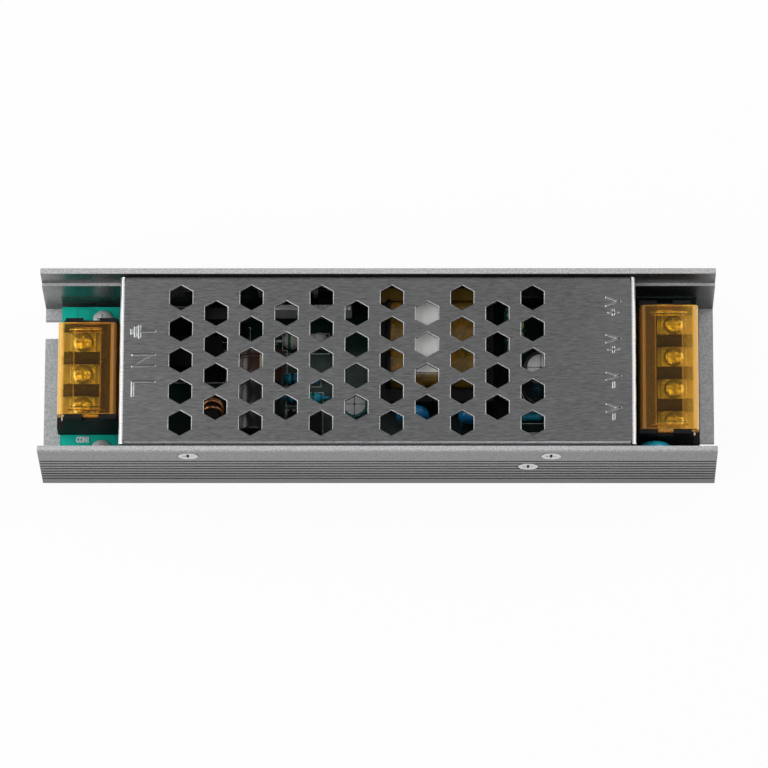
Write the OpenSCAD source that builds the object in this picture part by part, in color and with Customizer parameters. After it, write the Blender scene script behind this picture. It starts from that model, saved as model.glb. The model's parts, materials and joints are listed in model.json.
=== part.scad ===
// Slim power supply for LED strips: an extruded, grooved channel, a folded perforated cover,
// a barrier terminal block under a lid at each end, and the converter on its board.
// +X runs along the length to the output end, +Y to the back and +Z up. The origin is the
// middle of the underside. Lengths are in millimetres.

/* [Channel] */
// Length of the extruded channel
channel_len = 190; // [184:1:230]
// Width over both walls
channel_w = 54; // [53.5:0.5:66]
// Height of the walls
channel_h = 31; // [31:0.5:40]
// Thickness of the floor
floor_t = 1.8; // [1.5:0.1:2.2]
// Thickness of the grooved lower wall
wall_t = 2.6; // [2.2:0.1:2.8]
// Thickness of the plain rim above the ledge
rim_t = 1.7; // [1.7:0.1:2]
// Height of the rim above the ledge
rim_h = 8.3; // [8:0.1:9]
// Chamfer on the outer edge of the rim
rim_chamfer = 0.4; // [0.2:0.1:0.6]
// Height of the lowest groove
groove_first_z = 5; // [4:0.1:7]
// Distance between grooves
groove_pitch = 2.35; // [2:0.05:4]
// Height of one groove
groove_w = 0.9; // [0.6:0.1:1.2]
// Depth of one groove
groove_d = 0.7; // [0.4:0.1:1]
// Width of the open mounting notches
notch_w = 5.5; // [4.5:0.1:6]
// Depth of the mounting notches from the end of the channel
notch_len = 8; // [7:0.1:9]
// Distance of the notches from the centre line
notch_y = 18.2; // [17:0.1:19]

/* [Cover] */
// Thickness of the cover's sheet
sheet_t = 0.8; // [0.6:0.1:1]
// Drop of the cover below the rim
cover_drop = 0.7; // [0.4:0.1:1.2]
// Gap between the cover and the rim, each side
cover_gap = 0.35; // [0.2:0.05:0.5]
// Gap between the cover and the terminal blocks, each end
cover_end_gap = 0.8; // [0.5:0.1:2]
// Inside radius of the folds
fold_r = 0.5; // [0.3:0.1:1]
// Extra width of the relief at the corners of the folds
fold_relief = 0.3; // [0.2:0.1:0.8]
// How far the end folds stop short of the long sides
fold_trim = 0.4; // [0.2:0.1:1]
// Height of the folded ends
end_flange_h = 6; // [4:0.5:8]
// Width of a hexagonal vent hole across its flats
vent_flats = 6.2; // [4:0.1:7]
// Distance between columns of vent holes
vent_pitch_x = 9.87; // [9:0.01:10.5]
// Distance between holes in one column
vent_pitch_y = 9.21; // [8.5:0.01:9.6]
// Number of columns of vent holes
vent_cols = 11; // [3:2:11]
// Number of holes in the longer columns
vent_rows = 5; // [2:1:5]
// Place of the middle of the vent field along the length
vent_x = -5.9; // [-10:0.1:0]

/* [Screws] */
// Diameter of the threads
screw_d = 3; // [2.8:0.1:3]
// Diameter of the countersunk heads
csk_d = 5.7; // [5.3:0.1:6]
// Height of the countersunk heads
csk_h = 1.5; // [1.3:0.1:1.6]
// Room between a screw and its hole, all round
screw_gap = 0.1; // [0.05:0.05:0.2]
// Diameter of the pan heads on the board
pan_d = 5.6; // [5:0.1:6]
// Height of the pan heads on the board
pan_h = 2.2; // [1.8:0.1:2.6]
// Length of the cover screws
cover_screw_len = 6; // [5:0.5:7]
// Place of the left cover screws along the length
cover_screw_left = -53; // [-56:0.1:-50]
// Place of the right cover screws along the length
cover_screw_right = 48.6; // [46:0.1:52]
// Depth of the cover screws below the rim
cover_screw_drop = 4.8; // [4.4:0.1:5]

/* [Board] */
// Thickness of the circuit board
board_t = 1.6; // [1.2:0.1:2]
// Height of the board above the floor
board_gap = 3.2; // [3:0.1:4]
// Distance of the board from each end of the channel
board_end_gap = 4.9; // [4.5:0.1:6]
// Gap between the board and the insulating film, each side
board_side_gap = 0.7; // [0.4:0.1:0.9]
// Thickness of the insulating film
film_t = 0.3; // [0.2:0.05:0.4]
// Height of the film's sides above the floor
film_h = 11; // [8:0.5:11]
// Diameter of the standoffs
standoff_d = 6; // [5:0.1:6.5]
// Diameter of the standoff's spigot in the floor
spigot_d = 4.4; // [4.2:0.1:4.8]
// Distance of the output side's board screws from the terminal block
board_screw_gap = 3.8; // [3.5:0.1:6]
// Distance of the input side's board screws from the middle of the terminal block
board_screw_inset = 3.5; // [2:0.1:4]
// Diameter of the component leads
lead_d = 0.8; // [0.6:0.05:1]
// Room between a lead and its hole, all round
lead_gap = 0.15; // [0.1:0.05:0.25]
// Length of the leads below the board
lead_tail = 1; // [0.6:0.1:1.5]

/* [Terminals] */
// Distance between the poles
pole_pitch = 9.5; // [9.2:0.1:9.6]
// Number of input poles
input_poles = 3; // [2:1:3]
// Number of output poles
output_poles = 4; // [2:1:4]
// Distance of the blocks' middles from the ends of the channel
block_end_gap = 13.1; // [12.9:0.1:15]
// Offset of the input block to the back
input_y = 0.2; // [0:0.1:1]
// Offset of the output block to the back
output_y = 0.6; // [0:0.1:1]
// Depth of a block along the channel
block_depth = 17.4; // [17:0.1:17.8]
// Height of a block's lugs above the board
block_h = 15.6; // [15.4:0.1:17]
// Thickness of the end walls
end_wall_t = 1.25; // [1:0.05:1.5]
// Thickness of the barriers between the poles
barrier_t = 1.8; // [1.4:0.1:2]
// Height of the floor of a pole's well
well_floor_h = 6.4; // [6:0.1:7]
// Thickness of the rear wall
rear_wall_t = 3.2; // [3:0.1:3.4]
// Thickness of the lid
lid_t = 1.2; // [1:0.1:1.4]
// Width of the lid along the channel
lid_w = 16.5; // [16:0.1:16.8]
// Radius of the lid's long edges
lid_r = 1.4; // [1:0.1:1.6]
// Width of the lugs
lug_w = 5; // [4:0.1:5.2]
// Width of the notch between the lugs
lug_notch_w = 4.6; // [4:0.1:5]
// Thickness of a contact plate
contact_t = 1.2; // [0.8:0.1:1.4]
// Length of a contact plate
contact_len = 10.6; // [10:0.1:11]
// Gap between a contact plate and the rear wall
contact_back_gap = 2.3; // [2:0.1:2.4]
// Distance of a terminal screw from the inner end of its contact
screw_back = 4.6; // [4.2:0.1:5]
// Width of a contact plate
contact_w = 7; // [6.4:0.1:7.2]
// Length of a clamp plate
clamp_len = 7.2; // [6.8:0.1:7.4]
// Width of a clamp plate
clamp_w = 6.6; // [6:0.1:6.8]
// Thickness of a clamp plate
clamp_t = 1; // [0.8:0.1:1.2]
// Diameter of a terminal screw's head
terminal_head_d = 5.6; // [5:0.1:6]
// Height of a terminal screw's head
terminal_head_h = 2; // [1.6:0.1:2.2]
// Length of a terminal screw's shank
terminal_shank_len = 6.5; // [6:0.1:7]
// Running gap between the parts that move
running_gap = 0.05; // [0.02:0.01:0.1]
// Room between the lid and its block
lid_gap = 0.1; // [0.05:0.05:0.2]

/* [Power devices] */
// Height of the clamp screws above the floor of the channel
device_screw_h = 14.5; // [14:0.1:15]
// Place of the rectifier clamp along the length
rectifier_x = 42.2; // [40:0.1:44]
// Place of the transistor clamp along the length
transistor_x = -20; // [-22:0.1:-19]
// Distance between the two devices under one clamp
device_pitch = 16; // [15:0.1:17]
// Width of a device
device_w = 10; // [9:0.1:10.5]
// Thickness of a device
device_t = 4.5; // [4:0.1:4.8]
// Height of a device's moulded body
device_body_h = 9.2; // [9:0.1:9.6]
// Height of a device's metal tab above the body
device_tab_h = 6.3; // [5.8:0.1:6.4]
// Thickness of a device's metal tab
device_tab_t = 1.3; // [1:0.1:1.5]
// Height of a device above the board
device_lift = 0.6; // [0.4:0.1:0.8]
// Length of a clamp bar
bar_len = 25; // [24:0.5:27]
// Height of a clamp bar
bar_h = 8; // [6:0.5:9]
// Thickness of a clamp bar
bar_t = 1.5; // [1.2:0.1:2]
// Length of the clamp screws
clamp_screw_len = 10; // [9.5:0.5:10.5]

/* [Transformer] */
// Place of the transformer along the length
transformer_x = 15.4; // [15:0.1:16]
// Width of the core across the channel
core_w = 33.6; // [33:0.1:35]
// Thickness of the core
core_t = 11; // [10:0.1:12]
// Width of the core's outer legs
core_leg = 3.8; // [3.4:0.1:4]
// Width of the core's middle leg
core_mid = 8; // [7.4:0.1:8.4]
// Thickness of the core's yokes
core_yoke = 4; // [3.6:0.1:4.4]
// Length of the winding
winding_len = 23.8; // [22:0.1:24.2]
// Height of the winding
winding_h = 19; // [18:0.1:19.4]
// Thickness of the bobbin's walls
bobbin_t = 1; // [0.8:0.1:1.2]

/* [Hidden] */
$fn = 48;

// Cuts run past the faces they open by this much
past = 1;
FRONT = -1;
BACK = 1;

// Channel
half_w = channel_w / 2;
inner_half = half_w - wall_t;
rim_half = half_w - rim_t;
ledge_z = channel_h - rim_h;
groove_land = 0.2;
groove_margin = groove_w / 2 + groove_land;
groove_n = floor((ledge_z - groove_margin - groove_first_z) / groove_pitch) + 1;

// Cover
cover_top = channel_h - cover_drop;
cover_half = rim_half - cover_gap;
fold_out = fold_r + sheet_t;
block_x = channel_len / 2 - block_end_gap;
block_end_room = 0.6;
cover_half_len = block_x - block_depth / 2 - cover_end_gap;
cover_screw_z = channel_h - cover_screw_drop;
csk_room = 0.3;

// Board
board_z = floor_t + board_gap;
board_top = board_z + board_t;
board_len = channel_len - 2 * board_end_gap;
film_half = inner_half - film_t;
board_half = film_half - board_side_gap;
board_screw_left = -(block_x - board_screw_inset);
board_screw_right = block_x - block_depth / 2 - board_screw_gap;
board_screw_y = (input_y + block_half(input_poles) + board_half) / 2;
board_screw_xs = [board_screw_left, board_screw_right];
film_hole_gap = 0.4;
film_notch_room = 2.2;

// Screws: a recess reaches over a share of the head's width and goes down a share of its height
recess_reach = 0.55;
recess_depth = 0.6;
dome_share = 0.55;
thread_room = 0.1;
shank_d = screw_d - thread_room;

// Terminals, in a block's own frame: +x points to the middle of the channel, z from the board
half_depth = block_depth / 2;
lid_rise = 0.2;
lid_top = block_h + lid_rise;
lid_under = lid_top - lid_t;
barrier_drop = 2;
barrier_h = lid_under - barrier_drop;
skirt_t = lid_t;
wire_skirt_h = 3.6;
rear_skirt_h = 2.4;
wire_ledge = 2;
well_front = -half_depth + wire_ledge;
well_back = half_depth - rear_wall_t;
lug_inset = 0.3;
lug_inner = half_depth - lug_inset;
lug_notch = lug_inner - lug_w - lug_notch_w;
tab_t = 1.1;
tab_gap = 0.2;
notch_floor_h = lid_under - tab_t - running_gap;
contact_x = well_back - contact_back_gap - contact_len;
screw_x = contact_x + contact_len - screw_back;
contact_top = well_floor_h + contact_t;
clamp_z = contact_top + running_gap;
head_z = clamp_z + clamp_t + running_gap;
terminal_slot_w = 1;
terminal_slot_d = 0.6;
tail_t = 1;
tail_w = 3;
tail_x = contact_x + contact_len - tail_t;
blind_room = 0.6;
blind_h = head_z - terminal_shank_len - blind_room;
rib_t = 0.7;
rib_h = 1.7;
rib_gap = 0.3;
rib_inset = 1.7;

// Power devices
device_z = board_top + device_lift;
device_screw_z = floor_t + device_screw_h;
pad_room = 0.2;
pad_margin = 1;
pad_h = ledge_z - floor_t - film_h - pad_room;
device_lead_pitch = 2.54;
device_lead_y = 2.7;

// Transformer
core_wall_gap = 0.2;
bobbin_lift = 0.7;
leg_gap = 0.3;
transformer_y = film_half - core_wall_gap - core_w / 2;
transformer_z = board_top + winding_h / 2 + bobbin_lift;
winding_half_y = core_w / 2 - core_leg - leg_gap;
flange_r = 2;
tape_inset = 0.2;
tape_r = 4;
bobbin_len = winding_len + 2 * bobbin_t;
core_gap = 0.2;
core_half_len = bobbin_len / 2 + core_gap + core_yoke;
tube_y = core_mid + 2 * core_gap + 2 * bobbin_t;
tube_z = core_t + 2 * core_gap + 2 * bobbin_t;
rail_w = 3;
rail_h = transformer_z - board_top - winding_h / 2 - running_gap;
rail_pin_n = 6;
rail_pin_pitch = 4.4;

// Other components, by place along and across the channel
bay_left = -cover_half_len;
lead_in = 1;
fuse_d = 5.2;
fuse_len = 20;
fuse_cap_len = 5;
fuse_cap_step = 0.5;
fuse_wall_gap = 1.1;
fuse_y = film_half - fuse_wall_gap - fuse_d / 2;
fuse_pos = [bay_left + 14, fuse_y];
lying_reach = 2.5;
thermistor_d = 11;
thermistor_t = 4.5;
disc_lead_pitch = 5;
thermistor_pos = [bay_left + 3, -11];
film_box = [17.5, 8.6, 15];
film_box_pos = [-52.6, 5.6];
film_box_r = 0.8;
film_box_lead_pitch = 15;
ring_seat = 0.8;
ring_foot_share = [1.7, 2.3];
choke_pos = [-46.6, -15.2];
choke_ring_r = 5.2;
choke_rod_r = 2.4;
choke_wire_d = 0.9;
choke_turns = 6;
choke_spread = 62;
choke_foot_h = 2;
bridge_size = [22, 3.4, 18.3];
bridge_gap = 1.1;
bridge_pos = [-48, fuse_y - fuse_d / 2 - bridge_gap - bridge_size[1] / 2];
bridge_lift = 1.5;
bridge_corner = 3;
bridge_lead_pitch = 5;
bulk_d = 16;
bulk_len = 25;
bulk_lead_pitch = 7.5;
bulk_pos = [-34.5, -5.5];
resistor_power_d = 5;
resistor_power_len = 13;
resistor_power_pos = [-20.7, 12.4];
resistor_reach = 1.6;
resistor_waist = 0.86;
resistor_d = 2.4;
resistor_len = 6.4;
large_resistor_d = 3;
large_resistor_len = 10.4;
// Each film resistor's place along and across the channel, diameter and length
film_resistor_list = [
    [-21.6, 1.6, large_resistor_d, large_resistor_len],
    [-21, -4.1, large_resistor_d, large_resistor_len],
    [-11, -15.5, resistor_d, resistor_len],
    [43.4, -9.6, resistor_d, resistor_len]
];
chip_pos = [-21, -12];
chip_pitch = 2.54;
chip_row = 7.6;
chip_body_w = 6.4;
chip_h = 3.4;
chip_lift = 0.5;
chip_leg_t = 0.3;
chip_end_gap = 0.6;
chip_draft = 0.3;
supply_d = 8;
supply_h = 12;
supply_lead_pitch = 3.5;
supply_pos = [-6.6, -9.2];
disc_d = 9.4;
small_disc_d = 7;
disc_t = 3.8;
disc_lift = 3;
disc_front_lift = 7.5;
disc_core_gap = 0.8;
disc_block_gap = 0.65;
disc_front_y = transformer_y - core_w / 2 - disc_t / 2 - disc_core_gap;
disc_block_t = film_half + output_y - block_half(output_poles) - 2 * disc_block_gap;
disc_block_y = -(film_half - disc_block_gap - disc_block_t / 2);
// Each disc's place along and across the channel, diameter, thickness and height over the board
discs = [
    [9.7, disc_front_y, disc_d, disc_t, disc_front_lift],
    [26, disc_front_y, small_disc_d, disc_t, disc_front_lift],
    [block_x - 3.9, disc_block_y, disc_d, disc_block_t, disc_lift]
];
inductor_ring_r = 5.6;
inductor_rod_r = 2.4;
inductor_wire_d = 0.9;
inductor_turns = 12;
inductor_spread = 152;
inductor_foot_h = 1.4;
inductor_wall_gap = 2.15;
inductor_reach = inductor_ring_r + inductor_rod_r + inductor_wire_d + running_gap;
inductor_pos = [38.7, film_half - inductor_wall_gap - inductor_reach];
opto_gap = 0.3;
opto_pitch = 9;
opto_y = inductor_pos[1] - inductor_reach - opto_gap - (chip_row + lead_d) / 2;
opto_places = [[35.6, opto_y - opto_pitch], [35.6, opto_y]];
output_can_d = 10;
output_can_h = 19.5;
output_can_lead_pitch = 5;
output_can_places = [[45.8, -0.8], [56.6, -4.6], [56.6, 7.4]];

// Half the length of a terminal block, from its middle to an end face
function block_half(poles) = poles * pole_pitch / 2 + block_end_room;
function lid_half(poles) = block_half(poles) - end_wall_t - lid_gap;
function pole_y(poles, i) = (i - (poles - 1) / 2) * pole_pitch;

// Shapes that repeat

// Extrude a section drawn in Y and Z along the channel
module along_x(len) rotate([90, 0, 90]) linear_extrude(height = len, center = true) children();

// Extrude a section drawn in X and Z across the channel
module along_y(len) rotate([90, 0, 0]) linear_extrude(height = len, center = true) children();

module rounded_rect(w, h, r) {
    square([w - 2 * r, h], center = true);
    square([w, h - 2 * r], center = true);
    for (sx = [-1, 1], sy = [-1, 1])
        translate([sx * (w / 2 - r), sy * (h / 2 - r)]) circle(r);
}

// Stand on the outside of a wall, with z pointing into the channel
module at_wall(x, z, side) translate([x, side * half_w, z]) rotate([side * 90, 0, 0]) children();

module on_board(pos) translate([pos[0], pos[1], board_top]) children();

// A straight lead from below the board to a height above it; extra widens it into a hole
module lead(x, y, height, extra = 0) {
    tail = lead_tail + board_t;
    translate([x, y, -tail]) cylinder(h = tail + height, d = lead_d + 2 * extra, $fn = 16);
}

// A lead that leaves a lying body along x and turns down into the board
module bent_lead(from_x, to_x, height) {
    lead(to_x, 0, height);
    translate([to_x, 0, height]) sphere(d = lead_d, $fn = 16);
    translate([min(from_x, to_x), 0, height]) rotate([0, 90, 0])
        cylinder(h = abs(to_x - from_x), d = lead_d, $fn = 16);
}

module cross_recess(d, depth) {
    slot = d / 5;
    for (a = [0, 90]) rotate(a) translate([0, 0, depth / 2 - past / 2])
        cube([d, slot, depth + past], center = true);
}

// Countersunk screw: the head's face at z = 0 and the shank along +z
module countersunk_screw(len) difference() {
    union() {
        cylinder(h = csk_h, d1 = csk_d, d2 = screw_d);
        cylinder(h = len, d = screw_d);
    }
    cross_recess(csk_d * recess_reach, csk_h * recess_depth);
}

module countersunk_hole(depth) {
    grow = csk_d / 2 + csk_room - screw_d / 2 - screw_gap;
    translate([0, 0, -past]) cylinder(h = depth + 2 * past, d = screw_d + 2 * screw_gap);
    cylinder(h = csk_h, d1 = csk_d + 2 * csk_room, d2 = csk_d + 2 * (csk_room - grow));
}

// Pan head: a dome that stands on z = 0
module pan_head(d, h) {
    rise = h * dome_share;
    ball = (d * d / 4 + rise * rise) / (2 * rise);
    cylinder(h = h - rise, d = d);
    intersection() {
        translate([0, 0, h - ball]) sphere(ball);
        translate([0, 0, h - rise]) cylinder(h = rise + past, d = d);
    }
}

// Disc body that stands on edge with its axis along y, crowned all round its rim
module disc_body(d, t) {
    rim = t / 2;
    rotate([90, 0, 0]) rotate_extrude() {
        translate([0, -rim]) square([d / 2 - rim, t]);
        intersection() {
            translate([d / 2 - rim, 0]) circle(rim);
            translate([0, -t]) square([d, 2 * t]);
        }
    }
}

// Can capacitor standing on z = 0, with a rounded sleeve, a crimp and a scored top
module can_body(d, h) {
    shoulder = d * 0.06;
    crimp = d * 0.035;
    crimp_z = d * 0.2;
    score_w = d * 0.05;
    score_len = d * 0.6;
    top_d = d * 0.8;
    difference() {
        rotate_extrude() {
            square([d / 2 - shoulder, h]);
            square([d / 2, h - shoulder]);
            translate([d / 2 - shoulder, h - shoulder]) circle(shoulder);
        }
        translate([0, 0, crimp_z]) rotate_extrude() translate([d / 2, 0]) circle(crimp, $fn = 24);
        translate([0, 0, h - crimp]) cylinder(h = past, d = top_d);
        for (a = [0, 60, 120]) rotate(a) translate([0, 0, h - crimp])
            cube([score_len, score_w, 2 * score_w], center = true);
    }
}

// Radius of one turn of wire round a core's rod
function turn_r(rod_r, wire_d) = rod_r + wire_d / 2 + running_gap;

// Ring of wire turns on a core that stands in the Y and Z plane
module wire_turns(ring_r, rod_r, wire_d, angles) {
    for (a = angles) rotate([a, 0, 0]) translate([0, ring_r, 0])
        rotate_extrude() translate([turn_r(rod_r, wire_d), 0]) circle(d = wire_d, $fn = 20);
}

// Foot that a standing ring is bonded to
module ring_foot(rod_r, h) translate([0, 0, h / 2])
    cube([ring_foot_share[0] * rod_r, ring_foot_share[1] * rod_r, h], center = true);

module standing_ring(ring_r, rod_r) {
    rotate([0, 90, 0]) rotate_extrude() translate([ring_r, 0]) circle(rod_r);
}

// Channel, cover and their screws

module channel_section() difference() {
    translate([-half_w, 0]) square([channel_w, channel_h]);
    translate([-inner_half, floor_t]) square([2 * inner_half, channel_h]);
    translate([-rim_half, ledge_z]) square([2 * rim_half, channel_h]);
    for (side = [FRONT, BACK]) {
        for (i = [0 : groove_n - 1]) translate([side * half_w, groove_first_z + i * groove_pitch])
            square([2 * groove_d, groove_w], center = true);
        for (z = [0, channel_h]) translate([side * half_w, z]) rotate(45)
            square(rim_chamfer * sqrt(2), center = true);
    }
}

// One open slot with a round end, cut in from the input end
module end_notch() {
    straight = notch_len - notch_w / 2;
    depth = floor_t + 2 * past;
    translate([-past, -notch_w / 2, -past]) cube([straight + past, notch_w, depth]);
    translate([straight, 0, -past]) cylinder(h = depth, d = notch_w);
}

module end_notches() for (turn = [0, 180]) rotate(turn)
    translate([-channel_len / 2, notch_y, 0]) end_notch();

module at_cover_screws() for (x = [cover_screw_left, cover_screw_right], side = [FRONT, BACK])
    at_wall(x, cover_screw_z, side) children();

module at_device_screws() {
    at_wall(rectifier_x, device_screw_z, FRONT) children();
    at_wall(transistor_x, device_screw_z, BACK) children();
}

module at_board_screws() for (x = board_screw_xs, side = [FRONT, BACK])
    translate([x, side * board_screw_y, 0]) children();

module chassis_channel() color("#b2b4b7") difference() {
    along_x(channel_len) channel_section();
    end_notches();
    at_cover_screws() countersunk_hole(rim_t);
    at_device_screws() countersunk_hole(wall_t);
    at_board_screws() translate([0, 0, -past])
        cylinder(h = floor_t + 2 * past, d = spigot_d + 2 * running_gap);
}

// A bent sheet: flat top, two folds and two legs that end at the given height
module folded_section(half, foot) {
    flat = half - fold_out;
    translate([-flat, cover_top - sheet_t]) square([2 * flat, sheet_t]);
    for (side = [-1, 1]) {
        translate([side * (half - sheet_t / 2) - sheet_t / 2, foot])
            square([sheet_t, cover_top - fold_out - foot]);
        translate([side * flat, cover_top - fold_out]) intersection() {
            difference() {
                circle(fold_out);
                circle(fold_r);
            }
            translate([side * fold_out / 2, fold_out / 2]) square(fold_out, center = true);
        }
    }
}

module vent_field() {
    mid_col = (vent_cols - 1) / 2;
    for (col = [0 : vent_cols - 1]) {
        rows = vent_rows - col % 2;
        for (row = [0 : rows - 1])
            translate([vent_x + (col - mid_col) * vent_pitch_x, (row - (rows - 1) / 2) * vent_pitch_y, 0])
                rotate(30) cylinder(h = channel_h + past, d = vent_flats / cos(30), $fn = 6);
    }
}

module perforated_cover() color("#77797c") difference() {
    corner = fold_out + fold_relief;
    end_foot = cover_top - end_flange_h;
    union() {
        along_x(2 * (cover_half_len - corner)) folded_section(cover_half, ledge_z);
        along_y(2 * (cover_half - corner)) folded_section(cover_half_len, end_foot);
        intersection() {
            along_y(2 * (cover_half - fold_trim)) folded_section(cover_half_len, end_foot);
            for (side = [-1, 1])
                translate([side * (cover_half_len - fold_out / 2), 0, end_foot + end_flange_h / 2])
                    cube([fold_out, 2 * cover_half, end_flange_h], center = true);
        }
    }
    vent_field();
    at_cover_screws() cylinder(h = rim_t + cover_gap + sheet_t + past, d = screw_d + 2 * screw_gap);
}

module cover_screws() color("#c9ccd0") at_cover_screws() countersunk_screw(cover_screw_len);

module device_screws() color("#c9ccd0") at_device_screws() countersunk_screw(clamp_screw_len);

// Board, film and standoffs

module circuit_board() color("#12806c") difference() {
    translate([-board_len / 2, -board_half, board_z]) cube([board_len, 2 * board_half, board_t]);
    at_board_screws() translate([0, 0, board_z - past])
        cylinder(h = board_t + 2 * past, d = screw_d + 4 * screw_gap);
    contact_tails(lead_gap);
    component_leads(lead_gap);
}

module board_screws() color("#c9ccd0") at_board_screws() translate([0, 0, board_top]) {
    shank = board_t + board_gap + floor_t / 2;
    difference() {
        pan_head(pan_d, pan_h);
        translate([0, 0, pan_h]) mirror([0, 0, 1])
            cross_recess(pan_d * recess_reach, pan_h * recess_depth);
    }
    translate([0, 0, -shank]) cylinder(h = shank, d = shank_d);
}

module board_standoffs() color("#c4bfae") at_board_screws() difference() {
    union() {
        cylinder(h = floor_t + past, d = spigot_d);
        translate([0, 0, floor_t]) cylinder(h = board_gap, d = standoff_d);
    }
    translate([0, 0, -past]) cylinder(h = board_z + 2 * past, d = screw_d + 2 * screw_gap);
}

module insulating_film() color("#d8e4e2", 0.4) difference() {
    along_x(board_len) translate([0, floor_t]) difference() {
        translate([-inner_half, 0]) square([2 * inner_half, film_h]);
        translate([-film_half, film_t]) square([2 * film_half, film_h]);
    }
    at_board_screws() cylinder(h = board_z, d = standoff_d + 2 * film_hole_gap);
    for (turn = [0, 180]) rotate(turn) translate([-channel_len / 2 - past, notch_y, floor_t + film_t / 2])
        cube([2 * (notch_len + film_notch_room + past), notch_w + 2 * film_notch_room, 2 * film_t],
            center = true);
}

// Terminal blocks

// Stand at the middle of a block on the board, with +x to the middle of the channel
module at_input() translate([-block_x, input_y, board_top]) children();
module at_output() translate([block_x, output_y, board_top]) rotate(180) children();

module terminal_base(poles) {
    half = block_half(poles);
    seat_h = lid_under - running_gap;
    difference() {
        union() {
            translate([-half_depth, -half, 0]) cube([block_depth, 2 * half, well_floor_h]);
            translate([well_back, -half, 0]) cube([rear_wall_t, 2 * half, seat_h]);
            for (i = [1 : poles - 1]) translate([well_front, (i - poles / 2) * pole_pitch - barrier_t / 2, 0])
                cube([well_back - well_front + past, barrier_t, barrier_h]);
            for (side = [-1, 1]) translate([well_front, side * (half - end_wall_t / 2) - end_wall_t / 2, 0]) {
                cube([half_depth - well_front, end_wall_t, notch_floor_h]);
                translate([lug_inner - lug_w - well_front, 0, 0]) cube([lug_w, end_wall_t, block_h]);
                translate([lug_notch - lug_w - well_front, 0, 0]) cube([lug_w, end_wall_t, block_h]);
            }
        }
        rear_step(half);
        for (i = [0 : poles - 1]) translate([0, pole_y(poles, i), 0]) {
            translate([screw_x, 0, blind_h]) cylinder(h = well_floor_h, d = screw_d + 6 * screw_gap);
            translate([tail_x - lead_gap, -tail_w / 2 - lead_gap, -past])
                cube([tail_t + 2 * lead_gap, tail_w + 2 * lead_gap, well_floor_h + 2 * past]);
        }
    }
}

// The rear wall steps down where the lid's rear skirt comes over it
module rear_step(half) {
    step_x = lid_w / 2 - max(skirt_t, lid_r) - lid_gap;
    step_h = lid_top - rear_skirt_h - lid_gap;
    translate([step_x, -half + end_wall_t, step_h])
        cube([block_depth, 2 * (half - end_wall_t), block_h]);
}

module contact_set(poles) for (i = [0 : poles - 1]) translate([0, pole_y(poles, i), 0]) {
    difference() {
        translate([contact_x, -contact_w / 2, well_floor_h]) cube([contact_len, contact_w, contact_t]);
        translate([screw_x, 0, well_floor_h - past])
            cylinder(h = contact_t + 2 * past, d = screw_d + 2 * screw_gap);
    }
    translate([tail_x, -tail_w / 2, -board_t - lead_tail])
        cube([tail_t, tail_w, board_t + lead_tail + well_floor_h + contact_t]);
}

// The slots that the contact tails of both blocks pass through in the board
module contact_tails(extra) {
    at_input() tail_row(input_poles, extra);
    at_output() tail_row(output_poles, extra);
}

module tail_row(poles, extra) for (i = [0 : poles - 1])
    translate([tail_x - extra, pole_y(poles, i) - tail_w / 2 - extra, -board_t - past])
        cube([tail_t + 2 * extra, tail_w + 2 * extra, board_t + 2 * past]);

// A clamp plate with clipped corners that rides up and down with its screw
module clamp_plate(poles, i) translate([screw_x, pole_y(poles, i), clamp_z]) difference() {
    linear_extrude(height = clamp_t) rounded_rect(clamp_len, clamp_w, clamp_t);
    translate([0, 0, -past]) cylinder(h = clamp_t + 2 * past, d = screw_d + 4 * screw_gap);
}

module terminal_screw(poles, i) translate([screw_x, pole_y(poles, i), head_z]) {
    difference() {
        pan_head(terminal_head_d, terminal_head_h);
        translate([0, 0, terminal_head_h]) mirror([0, 0, 1]) {
            cross_recess(terminal_head_d * recess_reach, terminal_head_h * recess_depth);
            cube([terminal_head_d + past, terminal_slot_w, 2 * terminal_slot_d], center = true);
        }
    }
    translate([0, 0, -terminal_shank_len]) cylinder(h = terminal_shank_len, d = shank_d);
}

// Section of the lid in X and Z: a flat top with two skirts and round long edges
module lid_section() {
    half = lid_w / 2;
    translate([-half + lid_r, lid_under]) square([lid_w - 2 * lid_r, lid_t]);
    for (side = [-1, 1]) {
        skirt_h = side < 0 ? wire_skirt_h : rear_skirt_h;
        translate([side * (half - skirt_t / 2) - skirt_t / 2, lid_top - skirt_h])
            square([skirt_t, skirt_h - lid_r]);
        translate([side * (half - lid_r), lid_top - lid_r]) intersection() {
            circle(lid_r);
            translate([side * lid_r / 2, lid_r / 2]) square(lid_r, center = true);
        }
    }
}

// Lid: the top with its skirts, a rib round its window inside, and a tab at each end
module terminal_lid(poles) {
    half = lid_half(poles);
    rib_half_x = well_back - rib_gap;
    rib_half_y = half - rib_inset;
    tab_w = lug_notch_w - 2 * tab_gap;
    along_y(2 * half) lid_section();
    translate([0, 0, lid_under - rib_h]) linear_extrude(height = rib_h + lid_t / 2) difference() {
        square([2 * rib_half_x, 2 * rib_half_y], center = true);
        square([2 * (rib_half_x - rib_t), 2 * (rib_half_y - rib_t)], center = true);
    }
    for (side = [-1, 1]) translate([lug_notch + tab_gap, side * half - end_wall_t, lid_under - tab_t])
        cube([tab_w, 2 * end_wall_t, tab_t]);
}

module input_terminal_base() color("#1b1c1e") at_input() terminal_base(input_poles);
module input_contacts() color("#cfa94e") at_input() contact_set(input_poles);
module input_clamp(i) color("#d0cfc8") at_input() clamp_plate(input_poles, i);
module input_screw(i) color("#d8d8d4") at_input() terminal_screw(input_poles, i);
module input_terminal_cover() color("#d98a12", 0.6) at_input() terminal_lid(input_poles);

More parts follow.
